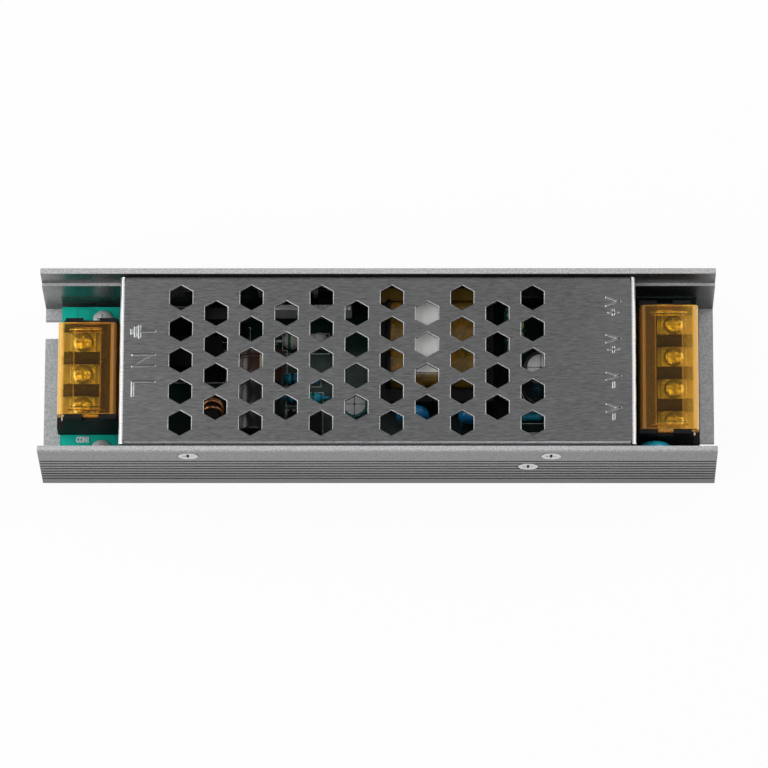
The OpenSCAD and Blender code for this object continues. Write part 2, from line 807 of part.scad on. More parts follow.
module output_terminal_base() color("#1b1c1e") at_output() terminal_base(output_poles);
module output_contacts() color("#cfa94e") at_output() contact_set(output_poles);
module output_clamp(i) color("#d0cfc8") at_output() clamp_plate(output_poles, i);
module output_screw(i) color("#d8d8d4") at_output() terminal_screw(output_poles, i);
module output_terminal_cover() color("#d98a12", 0.6) at_output() terminal_lid(output_poles);

// Components. Each set of leads is a module of its own, which the board also drills with

module fuse_leads(extra = 0) on_board(fuse_pos) for (side = [-1, 1])
    lead(side * (fuse_len / 2 + lying_reach), 0, fuse_d / 2 - lead_d, extra);

module fuse() color("#dfe3e2") {
    on_board(fuse_pos) translate([0, 0, fuse_d / 2]) rotate([0, 90, 0]) {
        cylinder(h = fuse_len, d = fuse_d - fuse_cap_step, center = true);
        for (side = [-1, 1]) translate([0, 0, side * (fuse_len - fuse_cap_len) / 2])
            cylinder(h = fuse_cap_len, d = fuse_d, center = true);
    }
    on_board(fuse_pos) for (side = [-1, 1])
        bent_lead(side * (fuse_len / 2 - lead_in), side * (fuse_len / 2 + lying_reach), fuse_d / 2);
}

module thermistor_leads(extra = 0) on_board(thermistor_pos) for (side = [-1, 1])
    lead(0, side * disc_lead_pitch / 2, disc_lift + thermistor_t / 2, extra);

module thermistor() color("#1d2b24") {
    on_board(thermistor_pos) translate([0, 0, disc_lift + thermistor_d / 2]) rotate(90)
        disc_body(thermistor_d, thermistor_t);
    thermistor_leads();
}

module suppression_leads(extra = 0) on_board(film_box_pos) for (side = [-1, 1])
    lead(side * film_box_lead_pitch / 2, 0, lead_in, extra);

module suppression_capacitor() color("#202124") {
    on_board(film_box_pos) linear_extrude(height = film_box[2])
        rounded_rect(film_box[0], film_box[1], film_box_r);
    suppression_leads();
}

choke_mid_h = choke_foot_h - ring_seat + choke_ring_r + choke_rod_r;
choke_angles = [for (side = [0, 180], i = [0 : choke_turns - 1])
    side - choke_spread + 2 * choke_spread * i / (choke_turns - 1)];

module at_choke() on_board(choke_pos) translate([0, 0, choke_mid_h]) children();

module choke_leads(extra = 0) on_board(choke_pos) for (sx = [-1, 1], sy = [-1, 1])
    lead(sx * turn_r(choke_rod_r, choke_wire_d), sy * choke_ring_r * cos(choke_spread),
        choke_mid_h - choke_ring_r * sin(choke_spread), extra);

module choke_core() color("#17181a") {
    at_choke() standing_ring(choke_ring_r, choke_rod_r);
    on_board(choke_pos) ring_foot(choke_rod_r, choke_foot_h);
}

module choke_windings() color("#b5651d") {
    at_choke() wire_turns(choke_ring_r, choke_rod_r, choke_wire_d, choke_angles);
    choke_leads();
}

module bridge_leads(extra = 0) on_board(bridge_pos) for (i = [-1.5 : 1.5])
    lead(i * bridge_lead_pitch, 0, bridge_lift + lead_in, extra);

module bridge_rectifier() color("#1a1a1c") {
    w = bridge_size[0];
    h = bridge_size[2];
    on_board(bridge_pos) translate([0, 0, bridge_lift]) along_y(bridge_size[1]) difference() {
        translate([-w / 2, 0]) square([w, h]);
        translate([w / 2, h]) rotate(45) square(bridge_corner * sqrt(2), center = true);
        translate([0, h / 2]) circle(d = screw_d);
    }
    bridge_leads();
}

module bulk_leads(extra = 0) on_board(bulk_pos) for (side = [-1, 1])
    lead(side * bulk_lead_pitch / 2, bulk_len / 2 + lying_reach, bulk_d / 2 - lead_d, extra);

// A large can capacitor that lies across the channel, its leads turned down at the back
module bulk_capacitor() color("#3a2a24") {
    on_board(bulk_pos) translate([0, bulk_len / 2, bulk_d / 2]) rotate([90, 0, 0]) can_body(bulk_d, bulk_len);
    on_board(bulk_pos) for (side = [-1, 1]) translate([side * bulk_lead_pitch / 2, 0, 0]) rotate(90)
        bent_lead(bulk_len / 2 - lead_in, bulk_len / 2 + lying_reach, bulk_d / 2);
}

// Stand at a wall's inner face, with y pointing into the channel and z from the underside
module at_inner_wall(x, side) translate([x, side * inner_half, 0])
    mirror([0, side < 0 ? 0 : 1, 0]) children();

module device_pair_leads(extra = 0) for (d = [-1, 1], i = [-1 : 1])
    translate([d * device_pitch / 2, film_t, board_top])
        lead(i * device_lead_pitch, device_lead_y, device_lift + lead_in, extra);

// Two power devices side by side: metal tab against the pad, moulded body and leads
module device_pair() {
    for (d = [-1, 1]) translate([d * device_pitch / 2 - device_w / 2, film_t, device_z]) {
        cube([device_w, device_t, device_body_h]);
        difference() {
            cube([device_w, device_tab_t, device_body_h + device_tab_h]);
            translate([device_w / 2, -past, device_body_h + device_tab_h / 2]) rotate([-90, 0, 0])
                cylinder(h = device_tab_t + 2 * past, d = screw_d + 6 * screw_gap);
        }
    }
    device_pair_leads();
}

module device_pad() {
    pad_w = device_pitch + device_w + 2 * pad_margin;
    difference() {
        translate([-pad_w / 2, 0, ledge_z - pad_h]) cube([pad_w, film_t, pad_h]);
        translate([0, -past, device_screw_z]) rotate([-90, 0, 0])
            cylinder(h = film_t + 2 * past, d = screw_d + 4 * screw_gap);
    }
}

module device_clamp() translate([0, film_t + device_t, device_screw_z]) difference() {
    translate([0, bar_t / 2, 0]) along_y(bar_t) rounded_rect(bar_len, bar_h, 1);
    translate([0, -past, 0]) rotate([-90, 0, 0]) cylinder(h = bar_t + 2 * past, d = screw_d + 2 * screw_gap);
}

module switch_transistors() color("#222326") at_inner_wall(transistor_x, BACK) device_pair();
module transistor_pad() color("#b9c2c8") at_inner_wall(transistor_x, BACK) device_pad();
module transistor_clamp() color("#b6b8ba") at_inner_wall(transistor_x, BACK) device_clamp();
module output_rectifiers() color("#222326") at_inner_wall(rectifier_x, FRONT) device_pair();
module rectifier_pad() color("#b9c2c8") at_inner_wall(rectifier_x, FRONT) device_pad();
module rectifier_clamp() color("#b6b8ba") at_inner_wall(rectifier_x, FRONT) device_clamp();

// Resistor body along x: two bulged ends and a slimmer middle
module resistor_body(d, len) rotate([0, 90, 0]) rotate_extrude() {
    bulge = d / 2;
    translate([0, -len / 2 + bulge]) square([bulge * resistor_waist, len - 2 * bulge]);
    for (side = [-1, 1]) intersection() {
        translate([0, side * (len / 2 - bulge)]) circle(bulge);
        translate([0, -len]) square([len, 2 * len]);
    }
}

function resistor_half(len) = len / 2 + resistor_reach;

module power_resistor_leads(extra = 0) on_board(resistor_power_pos) for (side = [-1, 1])
    lead(side * resistor_half(resistor_power_len), 0, resistor_power_d / 2 - lead_d, extra);

module power_resistor() color("#b9b2a4") on_board(resistor_power_pos) {
    translate([0, 0, resistor_power_d / 2]) resistor_body(resistor_power_d, resistor_power_len);
    for (side = [-1, 1]) bent_lead(side * (resistor_power_len / 2 - lead_in),
        side * resistor_half(resistor_power_len), resistor_power_d / 2);
}

module film_resistor_leads(extra = 0) for (part = film_resistor_list, side = [-1, 1])
    on_board(part) lead(side * resistor_half(part[3]), 0, part[2] / 2 - lead_d / 2, extra);

module film_resistors() color("#2f8fb8") for (part = film_resistor_list) on_board(part) {
    d = part[2];
    len = part[3];
    translate([0, 0, d / 2]) resistor_body(d, len);
    for (side = [-1, 1]) bent_lead(side * (len / 2 - lead_in), side * resistor_half(len), d / 2);
}

module chip_leads(pos, pins, extra = 0) on_board(pos) for (i = [0 : pins - 1], side = [-1, 1])
    lead((i - (pins - 1) / 2) * chip_pitch, side * chip_row / 2, chip_lift + chip_h / 2, extra);

// Dual in-line chip along x, with drafted sides, a pin-one notch and legs
module chip_body(pos, pins) {
    len = pins * chip_pitch - chip_end_gap;
    mid = chip_h / 2;
    half = chip_body_w / 2;
    on_board(pos) translate([0, 0, chip_lift]) difference() {
        along_x(len) polygon([[-half + chip_draft, 0], [half - chip_draft, 0], [half, mid],
            [half - chip_draft, chip_h], [-half + chip_draft, chip_h], [-half, mid]]);
        translate([-len / 2, 0, chip_h - chip_draft]) cylinder(h = past, d = chip_body_w / 4);
    }
    on_board(pos) for (i = [0 : pins - 1], side = [-1, 1])
        translate([(i - (pins - 1) / 2) * chip_pitch, side * (half + chip_row / 2) / 2, chip_lift + mid])
            cube([lead_d, chip_row / 2 - half + lead_d, chip_leg_t], center = true);
    chip_leads(pos, pins);
}

module controller_chip() color("#1c1c1e") chip_body(chip_pos, 4);

module optocouplers() color("#202022") for (pos = opto_places) chip_body(pos, 2);

module can_leads(pos, pitch, extra = 0) on_board(pos) for (side = [-1, 1])
    lead(side * pitch / 2, 0, lead_in, extra);

module standing_can(pos, d, h, pitch) {
    on_board(pos) can_body(d, h);
    can_leads(pos, pitch);
}

module supply_capacitor() color("#2b3036") standing_can(supply_pos, supply_d, supply_h, supply_lead_pitch);

module output_capacitors() color("#12585a") for (pos = output_can_places)
    standing_can(pos, output_can_d, output_can_h, output_can_lead_pitch);

module disc_leads(extra = 0) for (disc = discs, side = [-1, 1])
    on_board(disc) lead(side * disc_lead_pitch / 2, 0, disc[4] + disc[2] / 4, extra);

module disc_capacitors() color("#1b74b4") {
    for (disc = discs) on_board(disc) translate([0, 0, disc[4] + disc[2] / 2])
        disc_body(disc[2], disc[3]);
    disc_leads();
}

module at_transformer() translate([transformer_x, transformer_y, transformer_z]) children();

// Two E-shaped halves that meet inside the winding
module transformer_core() color("#232325") at_transformer() for (turn = [0, 180]) rotate(turn) difference() {
    gap = core_gap / 2;
    translate([gap, -core_w / 2, -core_t / 2]) cube([core_half_len - gap, core_w, core_t]);
    for (side = [-1, 1]) translate([0, side * (core_w - 2 * core_leg + core_mid) / 4, 0])
        cube([2 * (core_half_len - core_yoke), (core_w - 2 * core_leg - core_mid) / 2, core_t + past],
            center = true);
}

module transformer_leads(extra = 0) translate([transformer_x, transformer_y, board_top])
    for (end = [-1, 1], i = [0 : rail_pin_n - 1])
        lead(end * (bobbin_len / 2 - rail_w / 2), (i - (rail_pin_n - 1) / 2) * rail_pin_pitch,
            rail_h / 2, extra);

// Bobbin: a tube round the middle leg, a flange at each end and a pin rail below each flange
module transformer_bobbin() color("#1e1e20") {
    flange_y = 2 * winding_half_y;
    at_transformer() difference() {
        union() {
            along_x(bobbin_len) square([tube_y, tube_z], center = true);
            for (end = [-1, 1]) translate([end * (bobbin_len - bobbin_t) / 2, 0, 0])
                along_x(bobbin_t) rounded_rect(flange_y, winding_h, flange_r);
        }
        along_x(bobbin_len + past) square([tube_y - 2 * bobbin_t, tube_z - 2 * bobbin_t], center = true);
    }
    for (end = [-1, 1]) translate([transformer_x, transformer_y, board_top]) {
        translate([end * (bobbin_len - rail_w) / 2, 0, rail_h / 2])
            cube([rail_w, flange_y, rail_h], center = true);
        translate([end * (bobbin_len - bobbin_t) / 2, 0, bobbin_lift])
            cube([bobbin_t, flange_y / 2, 2 * bobbin_lift], center = true);
    }
    transformer_leads();
}

module transformer_winding() color("#a8741c") at_transformer() difference() {
    along_x(winding_len - 2 * running_gap)
        rounded_rect(2 * (winding_half_y - tape_inset), winding_h - 2 * tape_inset, tape_r);
    along_x(winding_len + past) square([tube_y + 2 * running_gap, tube_z + 2 * running_gap], center = true);
}

inductor_mid_h = inductor_foot_h - ring_seat + inductor_ring_r + inductor_rod_r;
inductor_angles = [for (i = [0 : inductor_turns - 1])
    90 - inductor_spread + 2 * inductor_spread * i / (inductor_turns - 1)];

module at_inductor() on_board(inductor_pos) translate([0, 0, inductor_mid_h]) children();

module inductor_leads(extra = 0) on_board(inductor_pos) for (side = [-1, 1])
    lead(side * turn_r(inductor_rod_r, inductor_wire_d), -side * inductor_ring_r * sin(inductor_spread),
        inductor_mid_h + inductor_ring_r * cos(inductor_spread), extra);

module inductor_core() color("#d8c66a") {
    at_inductor() standing_ring(inductor_ring_r, inductor_rod_r);
    on_board(inductor_pos) ring_foot(inductor_rod_r, inductor_foot_h);
}

module inductor_winding() color("#a65f22") {
    at_inductor() wire_turns(inductor_ring_r, inductor_rod_r, inductor_wire_d, inductor_angles);
    inductor_leads();
}

// Every hole that the components need in the board
module component_leads(extra) {
    fuse_leads(extra);
    thermistor_leads(extra);
    suppression_leads(extra);
    choke_leads(extra);
    bridge_leads(extra);
    bulk_leads(extra);
    at_inner_wall(transistor_x, BACK) device_pair_leads(extra);
    at_inner_wall(rectifier_x, FRONT) device_pair_leads(extra);
    power_resistor_leads(extra);
    film_resistor_leads(extra);
    chip_leads(chip_pos, 4, extra);
    for (pos = opto_places) chip_leads(pos, 2, extra);
    can_leads(supply_pos, supply_lead_pitch, extra);
    for (pos = output_can_places) can_leads(pos, output_can_lead_pitch, extra);
    disc_leads(extra);
    transformer_leads(extra);
    inductor_leads(extra);
}

chassis_channel();
perforated_cover();
cover_screws();
device_screws();
circuit_board();
board_screws();
board_standoffs();
insulating_film();
input_terminal_base();
input_contacts();
input_clamp(0);  // input_clamp_1
input_clamp(1);  // input_clamp_2
input_clamp(2);  // input_clamp_3
input_screw(0);  // input_screw_1
input_screw(1);  // input_screw_2
input_screw(2);  // input_screw_3
input_terminal_cover();
output_terminal_base();
output_contacts();
output_clamp(0);  // output_clamp_1
output_clamp(1);  // output_clamp_2
output_clamp(2);  // output_clamp_3
output_clamp(3);  // output_clamp_4
output_screw(0);  // output_screw_1
output_screw(1);  // output_screw_2
output_screw(2);  // output_screw_3
output_screw(3);  // output_screw_4
output_terminal_cover();
fuse();
thermistor();
suppression_capacitor();
choke_core();
choke_windings();
bridge_rectifier();
bulk_capacitor();
switch_transistors();
transistor_pad();
transistor_clamp();
power_resistor();
film_resistors();
controller_chip();
supply_capacitor();
transformer_core();
transformer_bobbin();
transformer_winding();
optocouplers();
disc_capacitors();
inductor_core();
inductor_winding();
output_capacitors();
output_rectifiers();
rectifier_pad();
rectifier_clamp();
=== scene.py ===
"""Finishes, pressed marks, print and studio for a slim LED power supply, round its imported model."""

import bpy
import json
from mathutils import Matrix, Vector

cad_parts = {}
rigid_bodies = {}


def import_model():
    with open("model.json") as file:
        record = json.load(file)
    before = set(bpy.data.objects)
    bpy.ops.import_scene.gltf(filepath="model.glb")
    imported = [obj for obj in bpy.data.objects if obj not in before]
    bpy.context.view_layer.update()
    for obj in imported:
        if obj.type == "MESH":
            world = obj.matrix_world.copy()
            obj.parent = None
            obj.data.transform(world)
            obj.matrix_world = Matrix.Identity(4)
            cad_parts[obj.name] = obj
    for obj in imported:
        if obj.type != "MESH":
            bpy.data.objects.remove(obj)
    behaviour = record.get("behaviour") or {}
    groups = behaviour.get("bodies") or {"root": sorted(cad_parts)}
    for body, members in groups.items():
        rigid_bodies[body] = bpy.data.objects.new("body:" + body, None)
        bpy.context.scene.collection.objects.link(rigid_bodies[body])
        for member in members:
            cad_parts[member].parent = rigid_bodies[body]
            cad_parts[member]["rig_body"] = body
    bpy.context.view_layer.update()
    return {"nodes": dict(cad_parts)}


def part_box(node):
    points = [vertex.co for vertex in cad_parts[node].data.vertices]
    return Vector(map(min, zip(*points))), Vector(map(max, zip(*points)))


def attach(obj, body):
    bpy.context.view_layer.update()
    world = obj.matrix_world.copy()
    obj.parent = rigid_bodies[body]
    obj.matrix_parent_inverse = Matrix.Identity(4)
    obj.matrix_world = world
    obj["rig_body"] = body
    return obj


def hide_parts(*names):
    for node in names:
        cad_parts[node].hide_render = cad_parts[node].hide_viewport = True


bl_info = {
    "name": "Slim LED power supply",
    "version": (1, 0, 0),
    "blender": (4, 5, 0),
    "location": "3D View > Sidebar > LED supply",
    "description": "Dresses the packed power supply with its finishes and sets its studio",
    "category": "Object",
}

import json
import math
from math import radians

import bmesh
import bpy
from bpy.props import FloatProperty, FloatVectorProperty, PointerProperty
from bpy.types import Operator, Panel, PropertyGroup
from mathutils import Matrix, Vector

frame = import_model()

MM = 0.001
WELD = 1e-6  # points closer than this are one
FLAT_BEND = radians(0.5)  # faces that meet at less than this are one
SHARP_BEND = radians(34)  # edges that bend more than this get rounded
SLIGHT = 0.6  # share of a rounding that edges of lesser show get
NODES = frame["nodes"]


# Places that the frame gives

def low_corner(node):
    return Vector(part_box(node)[0])


def high_corner(node):
    return Vector(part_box(node)[1])


def extent(spots):
    """Lowest and highest corner of the box round some points."""
    return tuple(Vector([pick(s[i] for s in spots) for i in range(3)]) for pick in (min, max))


def plate_corners(node):
    """Corners of a lid's flat top, without the tabs below it."""
    top = high_corner(node).z - WELD
    return extent([v.co for v in NODES[node].data.vertices if v.co.z > top])


def islands(node):
    """Lowest and highest corner of each separate solid in a node."""
    bm = bmesh.new()
    bm.from_mesh(NODES[node].data)
    bmesh.ops.remove_doubles(bm, verts=bm.verts, dist=WELD)
    left = set(bm.verts)
    boxes = []
    while left:
        front = [left.pop()]
        found = list(front)
        while front:
            near = {e.other_vert(v) for v in front for e in v.link_edges} & left
            left -= near
            found += near
            front = list(near)
        boxes.append(extent([v.co for v in found]))
    bm.free()
    return sorted(boxes, key=lambda box: tuple(box[0]))


BAY_HALF, COVER_HALF_W, COVER_TOP = high_corner("perforated_cover")
HALF_L, HALF_W, RIM_Z = high_corner("chassis_channel")
BOARD_TOP = high_corner("circuit_board").z
LEDGE_Z = RIM_Z - 8.3 * MM
FLOOR_Z = 1.8 * MM
INNER_HALF = 24.4 * MM  # from the middle to a wall, below the ledge
RIM_HALF = 25.3 * MM  # and above it
GROOVE_D = 0.7 * MM


# What a user would change

def length(name, description, millimetres):
    return FloatProperty(name=name, description=description, default=millimetres * MM, min=0.0,
                         precision=5, subtype="DISTANCE", unit="LENGTH")


def colour(name, description, rgb):
    return FloatVectorProperty(name=name, description=description, default=rgb, size=3,
                               min=0.0, max=1.0, subtype="COLOR")


class SupplySizes(PropertyGroup):
    rim_round: length("Rim rounding", "Radius on the edges of the channel's rim", 0.25)
    sheet_round: length("Sheet rounding", "Broken edge of the cut sheet", 0.28)
    vent_round: length("Vent rounding", "Rolled-over edge of the punched holes", 0.34)
    mould_round: length("Moulding radius", "Radius on the edges of moulded pieces", 0.25)
    lid_round: length("Lid radius", "Radius on the edges of the amber lids", 0.3)
    lid_corner: length("Lid corner", "Radius on the upright corners of the amber lids", 0.8)
    metal_round: length("Metal rounding", "Broken edge of screws, plates and bars", 0.1)
    mark_w: length("Input mark width", "Width of the strokes pressed at the input end", 1.05)
    mark_w_output: length("Output mark width", "Width of the strokes pressed at the output end",
                          0.85)
    mark_h: length("Mark height", "How far the pressed strokes stand out", 0.2)
    print_w: length("Print width", "Width of the lines printed on the board", 0.18)
    print_h: length("Print height", "Thickness of the print on the board", 0.02)
    print_letters: length("Print letters", "Height of the letters printed on the board", 2.2)
    label_t: length("Label thickness", "Thickness of the paper label", 0.08)


class SupplyColours(PropertyGroup):
    aluminium: colour("Aluminium", "Blasted aluminium of the channel", (0.55, 0.55, 0.56))
    steel: colour("Steel", "Brushed steel of the cover", (0.41, 0.413, 0.417))
    zinc: colour("Zinc", "Plating of the screws", (0.85, 0.85, 0.84))
    nickel: colour("Nickel", "Plating of clamps and contacts", (0.82, 0.79, 0.72))
    board: colour("Board", "Solder resist of the board", (0.003, 0.55, 0.42))
    ink: colour("Print", "White print on the board", (0.95, 0.96, 0.95))
    black: colour("Black plastic", "Moulded terminal blocks", (0.012, 0.012, 0.012))
    amber: colour("Amber", "Clear amber plastic of the lids", (0.97, 0.70, 0.15))
    # Painted light: the colour of the glow painted into the lids' edges.
    amber_edge: colour("Amber edge", "Light gathered in the edges of the lids", (0.90, 0.42, 0.07))
    tape: colour("Tape", "Winding tape of the transformer", (0.17, 0.10, 0.012))
    copper: colour("Copper", "Enamelled copper wire", (0.72, 0.30, 0.12))
    disc: colour("Disc blue", "Dipped coat of the disc capacitors", (0.015, 0.30, 0.66))
    sleeve: colour("Brown sleeve", "Sleeve of the large capacitor", (0.055, 0.024, 0.015))
    core: colour("Ring yellow", "Paint of the output choke's ring", (0.90, 0.78, 0.30))
    floor: colour("Floor", "Studio floor", (0.16, 0.16, 0.16))


def sizes():
    return bpy.context.scene.supply_sizes


def colours():
    return bpy.context.scene.supply_colours


# Shader nodes written as expressions

class Wire:
    """A node's output that takes part in Python arithmetic."""

    def __init__(self, finish, socket):
        self.finish = finish
        self.socket = socket

    def maths(self, operation, *values):
        return self.finish.node("ShaderNodeMath", {"operation": operation}, dict(enumerate(values)))

    def __add__(self, other):
        return self.maths("ADD", self, other)

    __radd__ = __add__

    def __sub__(self, other):
        return self.maths("SUBTRACT", self, other)

    def __rsub__(self, other):
        return self.maths("SUBTRACT", other, self)

    def __mul__(self, other):
        return self.maths("MULTIPLY", self, other)

    __rmul__ = __mul__

    def __gt__(self, other):
        return self.maths("GREATER_THAN", self, other)

    def __lt__(self, other):
        return self.maths("LESS_THAN", self, other)

    def __abs__(self):
        return self.maths("ABSOLUTE", self)

    def least(self, other):
        return self.maths("MINIMUM", self, other)

    def clamp(self):
        settings = {"operation": "ADD", "use_clamp": True}
        return self.finish.node("ShaderNodeMath", settings, {0: self, 1: 0.0})


class Finish:
    """The node tree of a material or of the world."""

    def __init__(self, owner):
        owner.use_nodes = True
        self.tree = owner.node_tree
        self.tree.nodes.clear()

    def node(self, kind, settings=None, inputs=None, output=0):
        """Adds a node, sets its settings first and then its sockets' values or links."""
        made = self.tree.nodes.new(kind)
        for name, value in (settings or {}).items():
            setattr(made, name, value)
        for name, value in (inputs or {}).items():
            if isinstance(value, Wire):
                self.tree.links.new(value.socket, made.inputs[name])
            else:
                made.inputs[name].default_value = value
        return Wire(self, made.outputs[output])

    def place(self, stretch=(1.0, 1.0, 1.0), turn=(0.0, 0.0, 0.0)):
        """Object coordinates in metres, turned and then stretched."""
        at = self.node("ShaderNodeTexCoord", output="Object")
        turned = self.node("ShaderNodeMapping", {}, {"Vector": at, "Rotation": turn})
        return self.node("ShaderNodeMapping", {}, {"Vector": turned, "Scale": stretch})

    def axis(self, name):
        at = self.node("ShaderNodeTexCoord", output="Object")
        return self.node("ShaderNodeSeparateXYZ", {}, {"Vector": at}, output=name)

    def noise(self, stretch, detail=2.0, turn=(0.0, 0.0, 0.0)):
        """Noise whose grains are 1/stretch metres long along each axis."""
        return self.node("ShaderNodeTexNoise", {}, {
            "Vector": self.place(stretch, turn), "Scale": 1.0, "Detail": detail, "Roughness": 0.55})

    def grain(self, scale, detail=2.0):
        return self.noise((scale, scale, scale), detail)

    def ramp(self, value, low, high):
        """0 below low, 1 above high, smooth between."""
        return self.node("ShaderNodeMapRange", {"interpolation_type": "SMOOTHSTEP"}, {
            "Value": value, "From Min": low, "From Max": high, "To Min": 0.0, "To Max": 1.0})

    def mix(self, share, first, second):
        return self.node("ShaderNodeMix", {"data_type": "RGBA"}, {
            0: share, 6: self.rgba(first), 7: self.rgba(second)}, output=2)

    def shades(self, share, base, dark, light):
        """Goes from a darker to a lighter tint of one colour."""
        return self.mix(share, tint(base, dark), tint(base, light))

    def rgba(self, value):
        return value if isinstance(value, Wire) else (*tuple(value)[:3], 1.0)

    def bump(self, height, depth):
        return self.node("ShaderNodeBump", {}, {
            "Height": height, "Distance": depth, "Strength": 1.0})

    def surface(self, **inputs):
        """The main shader; an underscore stands for each space in a socket's name."""
        named = {name.replace("_", " "): value for name, value in inputs.items()}
        named["Base Color"] = self.rgba(named["Base Color"])
        return self.node("ShaderNodeBsdfPrincipled", {}, named)

    def out(self, shader, kind="ShaderNodeOutputMaterial"):
        end = self.tree.nodes.new(kind)
        self.tree.links.new(shader.socket, end.inputs["Surface"])


def tint(rgb, factor):
    return tuple(min(1.0, c * factor) for c in rgb)


# Finishes: grain and noise in grains per metre, bump depths in metres

PALE_DISC, DISC_SHADE = (0.03, 0.55, 0.72), (0.0, 0.05, 0.2)
GREY_PATCH_DARK, GREY_PATCH_PALE = (0.03, 0.075, 0.068), (0.12, 0.14, 0.13)
# LIT_AMBER is the painted light tone of the lids' wire side.
LIT_AMBER, RESIN = (0.95, 0.60, 0.10), (0.26, 0.11, 0.008)
FILM, SLEEVE_DARK_FRONT = (0.10, 0.14, 0.13), (0.014, 0.013, 0.012)
STRIPE = (0.62, 0.52, 0.36)
FERRITE_DARK, FERRITE_PALE = (0.006, 0.006, 0.007), (0.014, 0.014, 0.015)
GLASS, FUSE_CAP = (0.85, 0.90, 0.88), (0.72, 0.70, 0.66)
PAPER_DARK, PAPER_PALE = (0.95, 0.95, 0.93), (1.0, 1.0, 0.99)
LACQUER = {"Coat_Weight": 0.4, "Coat_Roughness": 0.15}


def blasted_aluminium(f):
    """Blasted outside and on top; the inner walls stay as smooth as the die left them, and their
    colour is painted darker as shade.

    The grooves are painted dark as shade, and the outer walls get painted shade that darkens towards
    their foot.
    """
    base = colours().aluminium
    near, skin, clear, rim_edge = 0.05 * MM, 0.03 * MM, 0.1 * MM, 0.3 * MM
    speckle = f.grain(1900, 3.0)
    lines = f.noise((14, 1500, 1500))
    cloud = f.grain(38)
    across = abs(f.axis("Y"))
    height = f.axis("Z")
    lower = (abs(across - INNER_HALF) < near) * (height < LEDGE_Z - clear)
    upper = (abs(across - RIM_HALF) < near) * (height < RIM_Z - rim_edge)
    smooth = (lower + upper).clamp() * (height > FLOOR_Z + clear)
    outer = across > HALF_W - GROOVE_D - skin
    # Painted shade: the grooves are darkened where shade falls in them.
    groove = ((across < HALF_W - skin) * outer * (height < LEDGE_Z) * (height > FLOOR_Z)
              * (abs(f.axis("X")) < HALF_L - clear))
    shade = f.ramp(speckle, 0.34, 0.66) * 0.8 + lines * 0.2 + cloud * 0.2
    # Painted shade: the outer walls darken towards their foot.
    foot = outer * f.ramp(height, LEDGE_Z, 0.0)
    blasted_with_foot_shade = f.mix(0.42 * foot, f.shades(shade, base, 0.74, 1.16), tint(base, 0.05))
    # Painted shade: the smooth inner walls get a much darker copy of the aluminium's colour.
    inner_wall_painted_shade = f.shades(lines, base, 0.28, 0.40)
    outside = f.mix(groove, blasted_with_foot_shade, tint(base, 0.07))
    rough = 0.46 + 0.10 * f.ramp(speckle, 0.35, 0.65) + 0.05 * cloud - 0.22 * smooth
    f.out(f.surface(
        Base_Color=f.mix(smooth, outside, inner_wall_painted_shade), Metallic=0.14 + 0.76 * smooth, Roughness=rough,
        Specular_IOR_Level=0.3,
        Normal=f.bump(speckle * (1 - smooth) + lines * 0.3, 0.02 * MM)))


def brushed_steel(f):
    """Cold-rolled sheet: grain along the length, hairline scratches, and a painted highlight on the
    bends.
    """
    base = colours().steel
    grain = f.noise((420, 4800, 900))
    coarse = f.noise((140, 1900, 300))
    cloud = f.grain(26)
    hair = f.ramp(f.noise((60, 2600, 200), 1.0, (0, 0, radians(24))), 0.70, 0.76)
    nick = f.ramp(f.noise((45, 2200, 200), 1.0, (0, 0, radians(-52))), 0.73, 0.78)
    scratch = (hair + nick).clamp()
    inset = (BAY_HALF - abs(f.axis("X"))).least(COVER_HALF_W - abs(f.axis("Y")))
    flat = f.ramp(inset, 0.3 * MM, 0.9 * MM)
    shade = f.ramp(grain, 0.30, 0.70) * 0.65 + f.ramp(coarse, 0.3, 0.7) * 0.20 + cloud * 0.15
    # Painted highlight: the bends get a much lighter copy of the steel's colour.
    painted_bend_highlight = tint(base, 2.1)
    face = f.mix(flat, painted_bend_highlight, f.shades(shade, base, 0.70, 1.30))
    f.out(f.surface(
        Base_Color=f.mix(scratch * 0.12, face, tint(base, 1.7)), Metallic=1.0,
        Roughness=0.20 + 0.06 * flat + 0.06 * (grain - 0.5) * flat + 0.05 * cloud,
        Normal=f.bump((grain - 0.5 * scratch) * flat, 0.007 * MM)))


def plated(f, base, rough, metallic=1.0, dent=0.0, screw=None, pitch=420):
    """Bright plating with tool marks, a little tarnish and, where it was pressed, shallow dents.

    A screw through a wall has painted shade in its recess and down the side of its head.
    """
    cloud = f.grain(pitch, 3.0)
    fine = f.grain(5200)
    face = f.shades(cloud, base, 0.78, 1.15)
    if screw:
        # Painted shade: darkened where the surface lies below the head's top.
        depth = max(high_corner(screw).y, -low_corner(screw).y) - abs(f.axis("Y"))
        face = f.mix(f.ramp(depth, 0.15 * MM, 0.3 * MM), face, tint(base, 0.04))
    f.out(f.surface(
        Base_Color=face, Metallic=metallic, Roughness=rough + 0.14 * cloud,
        Normal=f.bump(cloud * dent + fine * 0.1, 0.12 * MM)))


def wall_screw(f, node):
    plated(f, tint(colours().zinc, 0.8), rough=0.22, metallic=0.7, dent=0.6, screw=node)


def terminal_metal(f, metallic, dent):
    plated(f, tint(colours().nickel, 1.2), rough=0.04, metallic=metallic, dent=dent, pitch=1000)


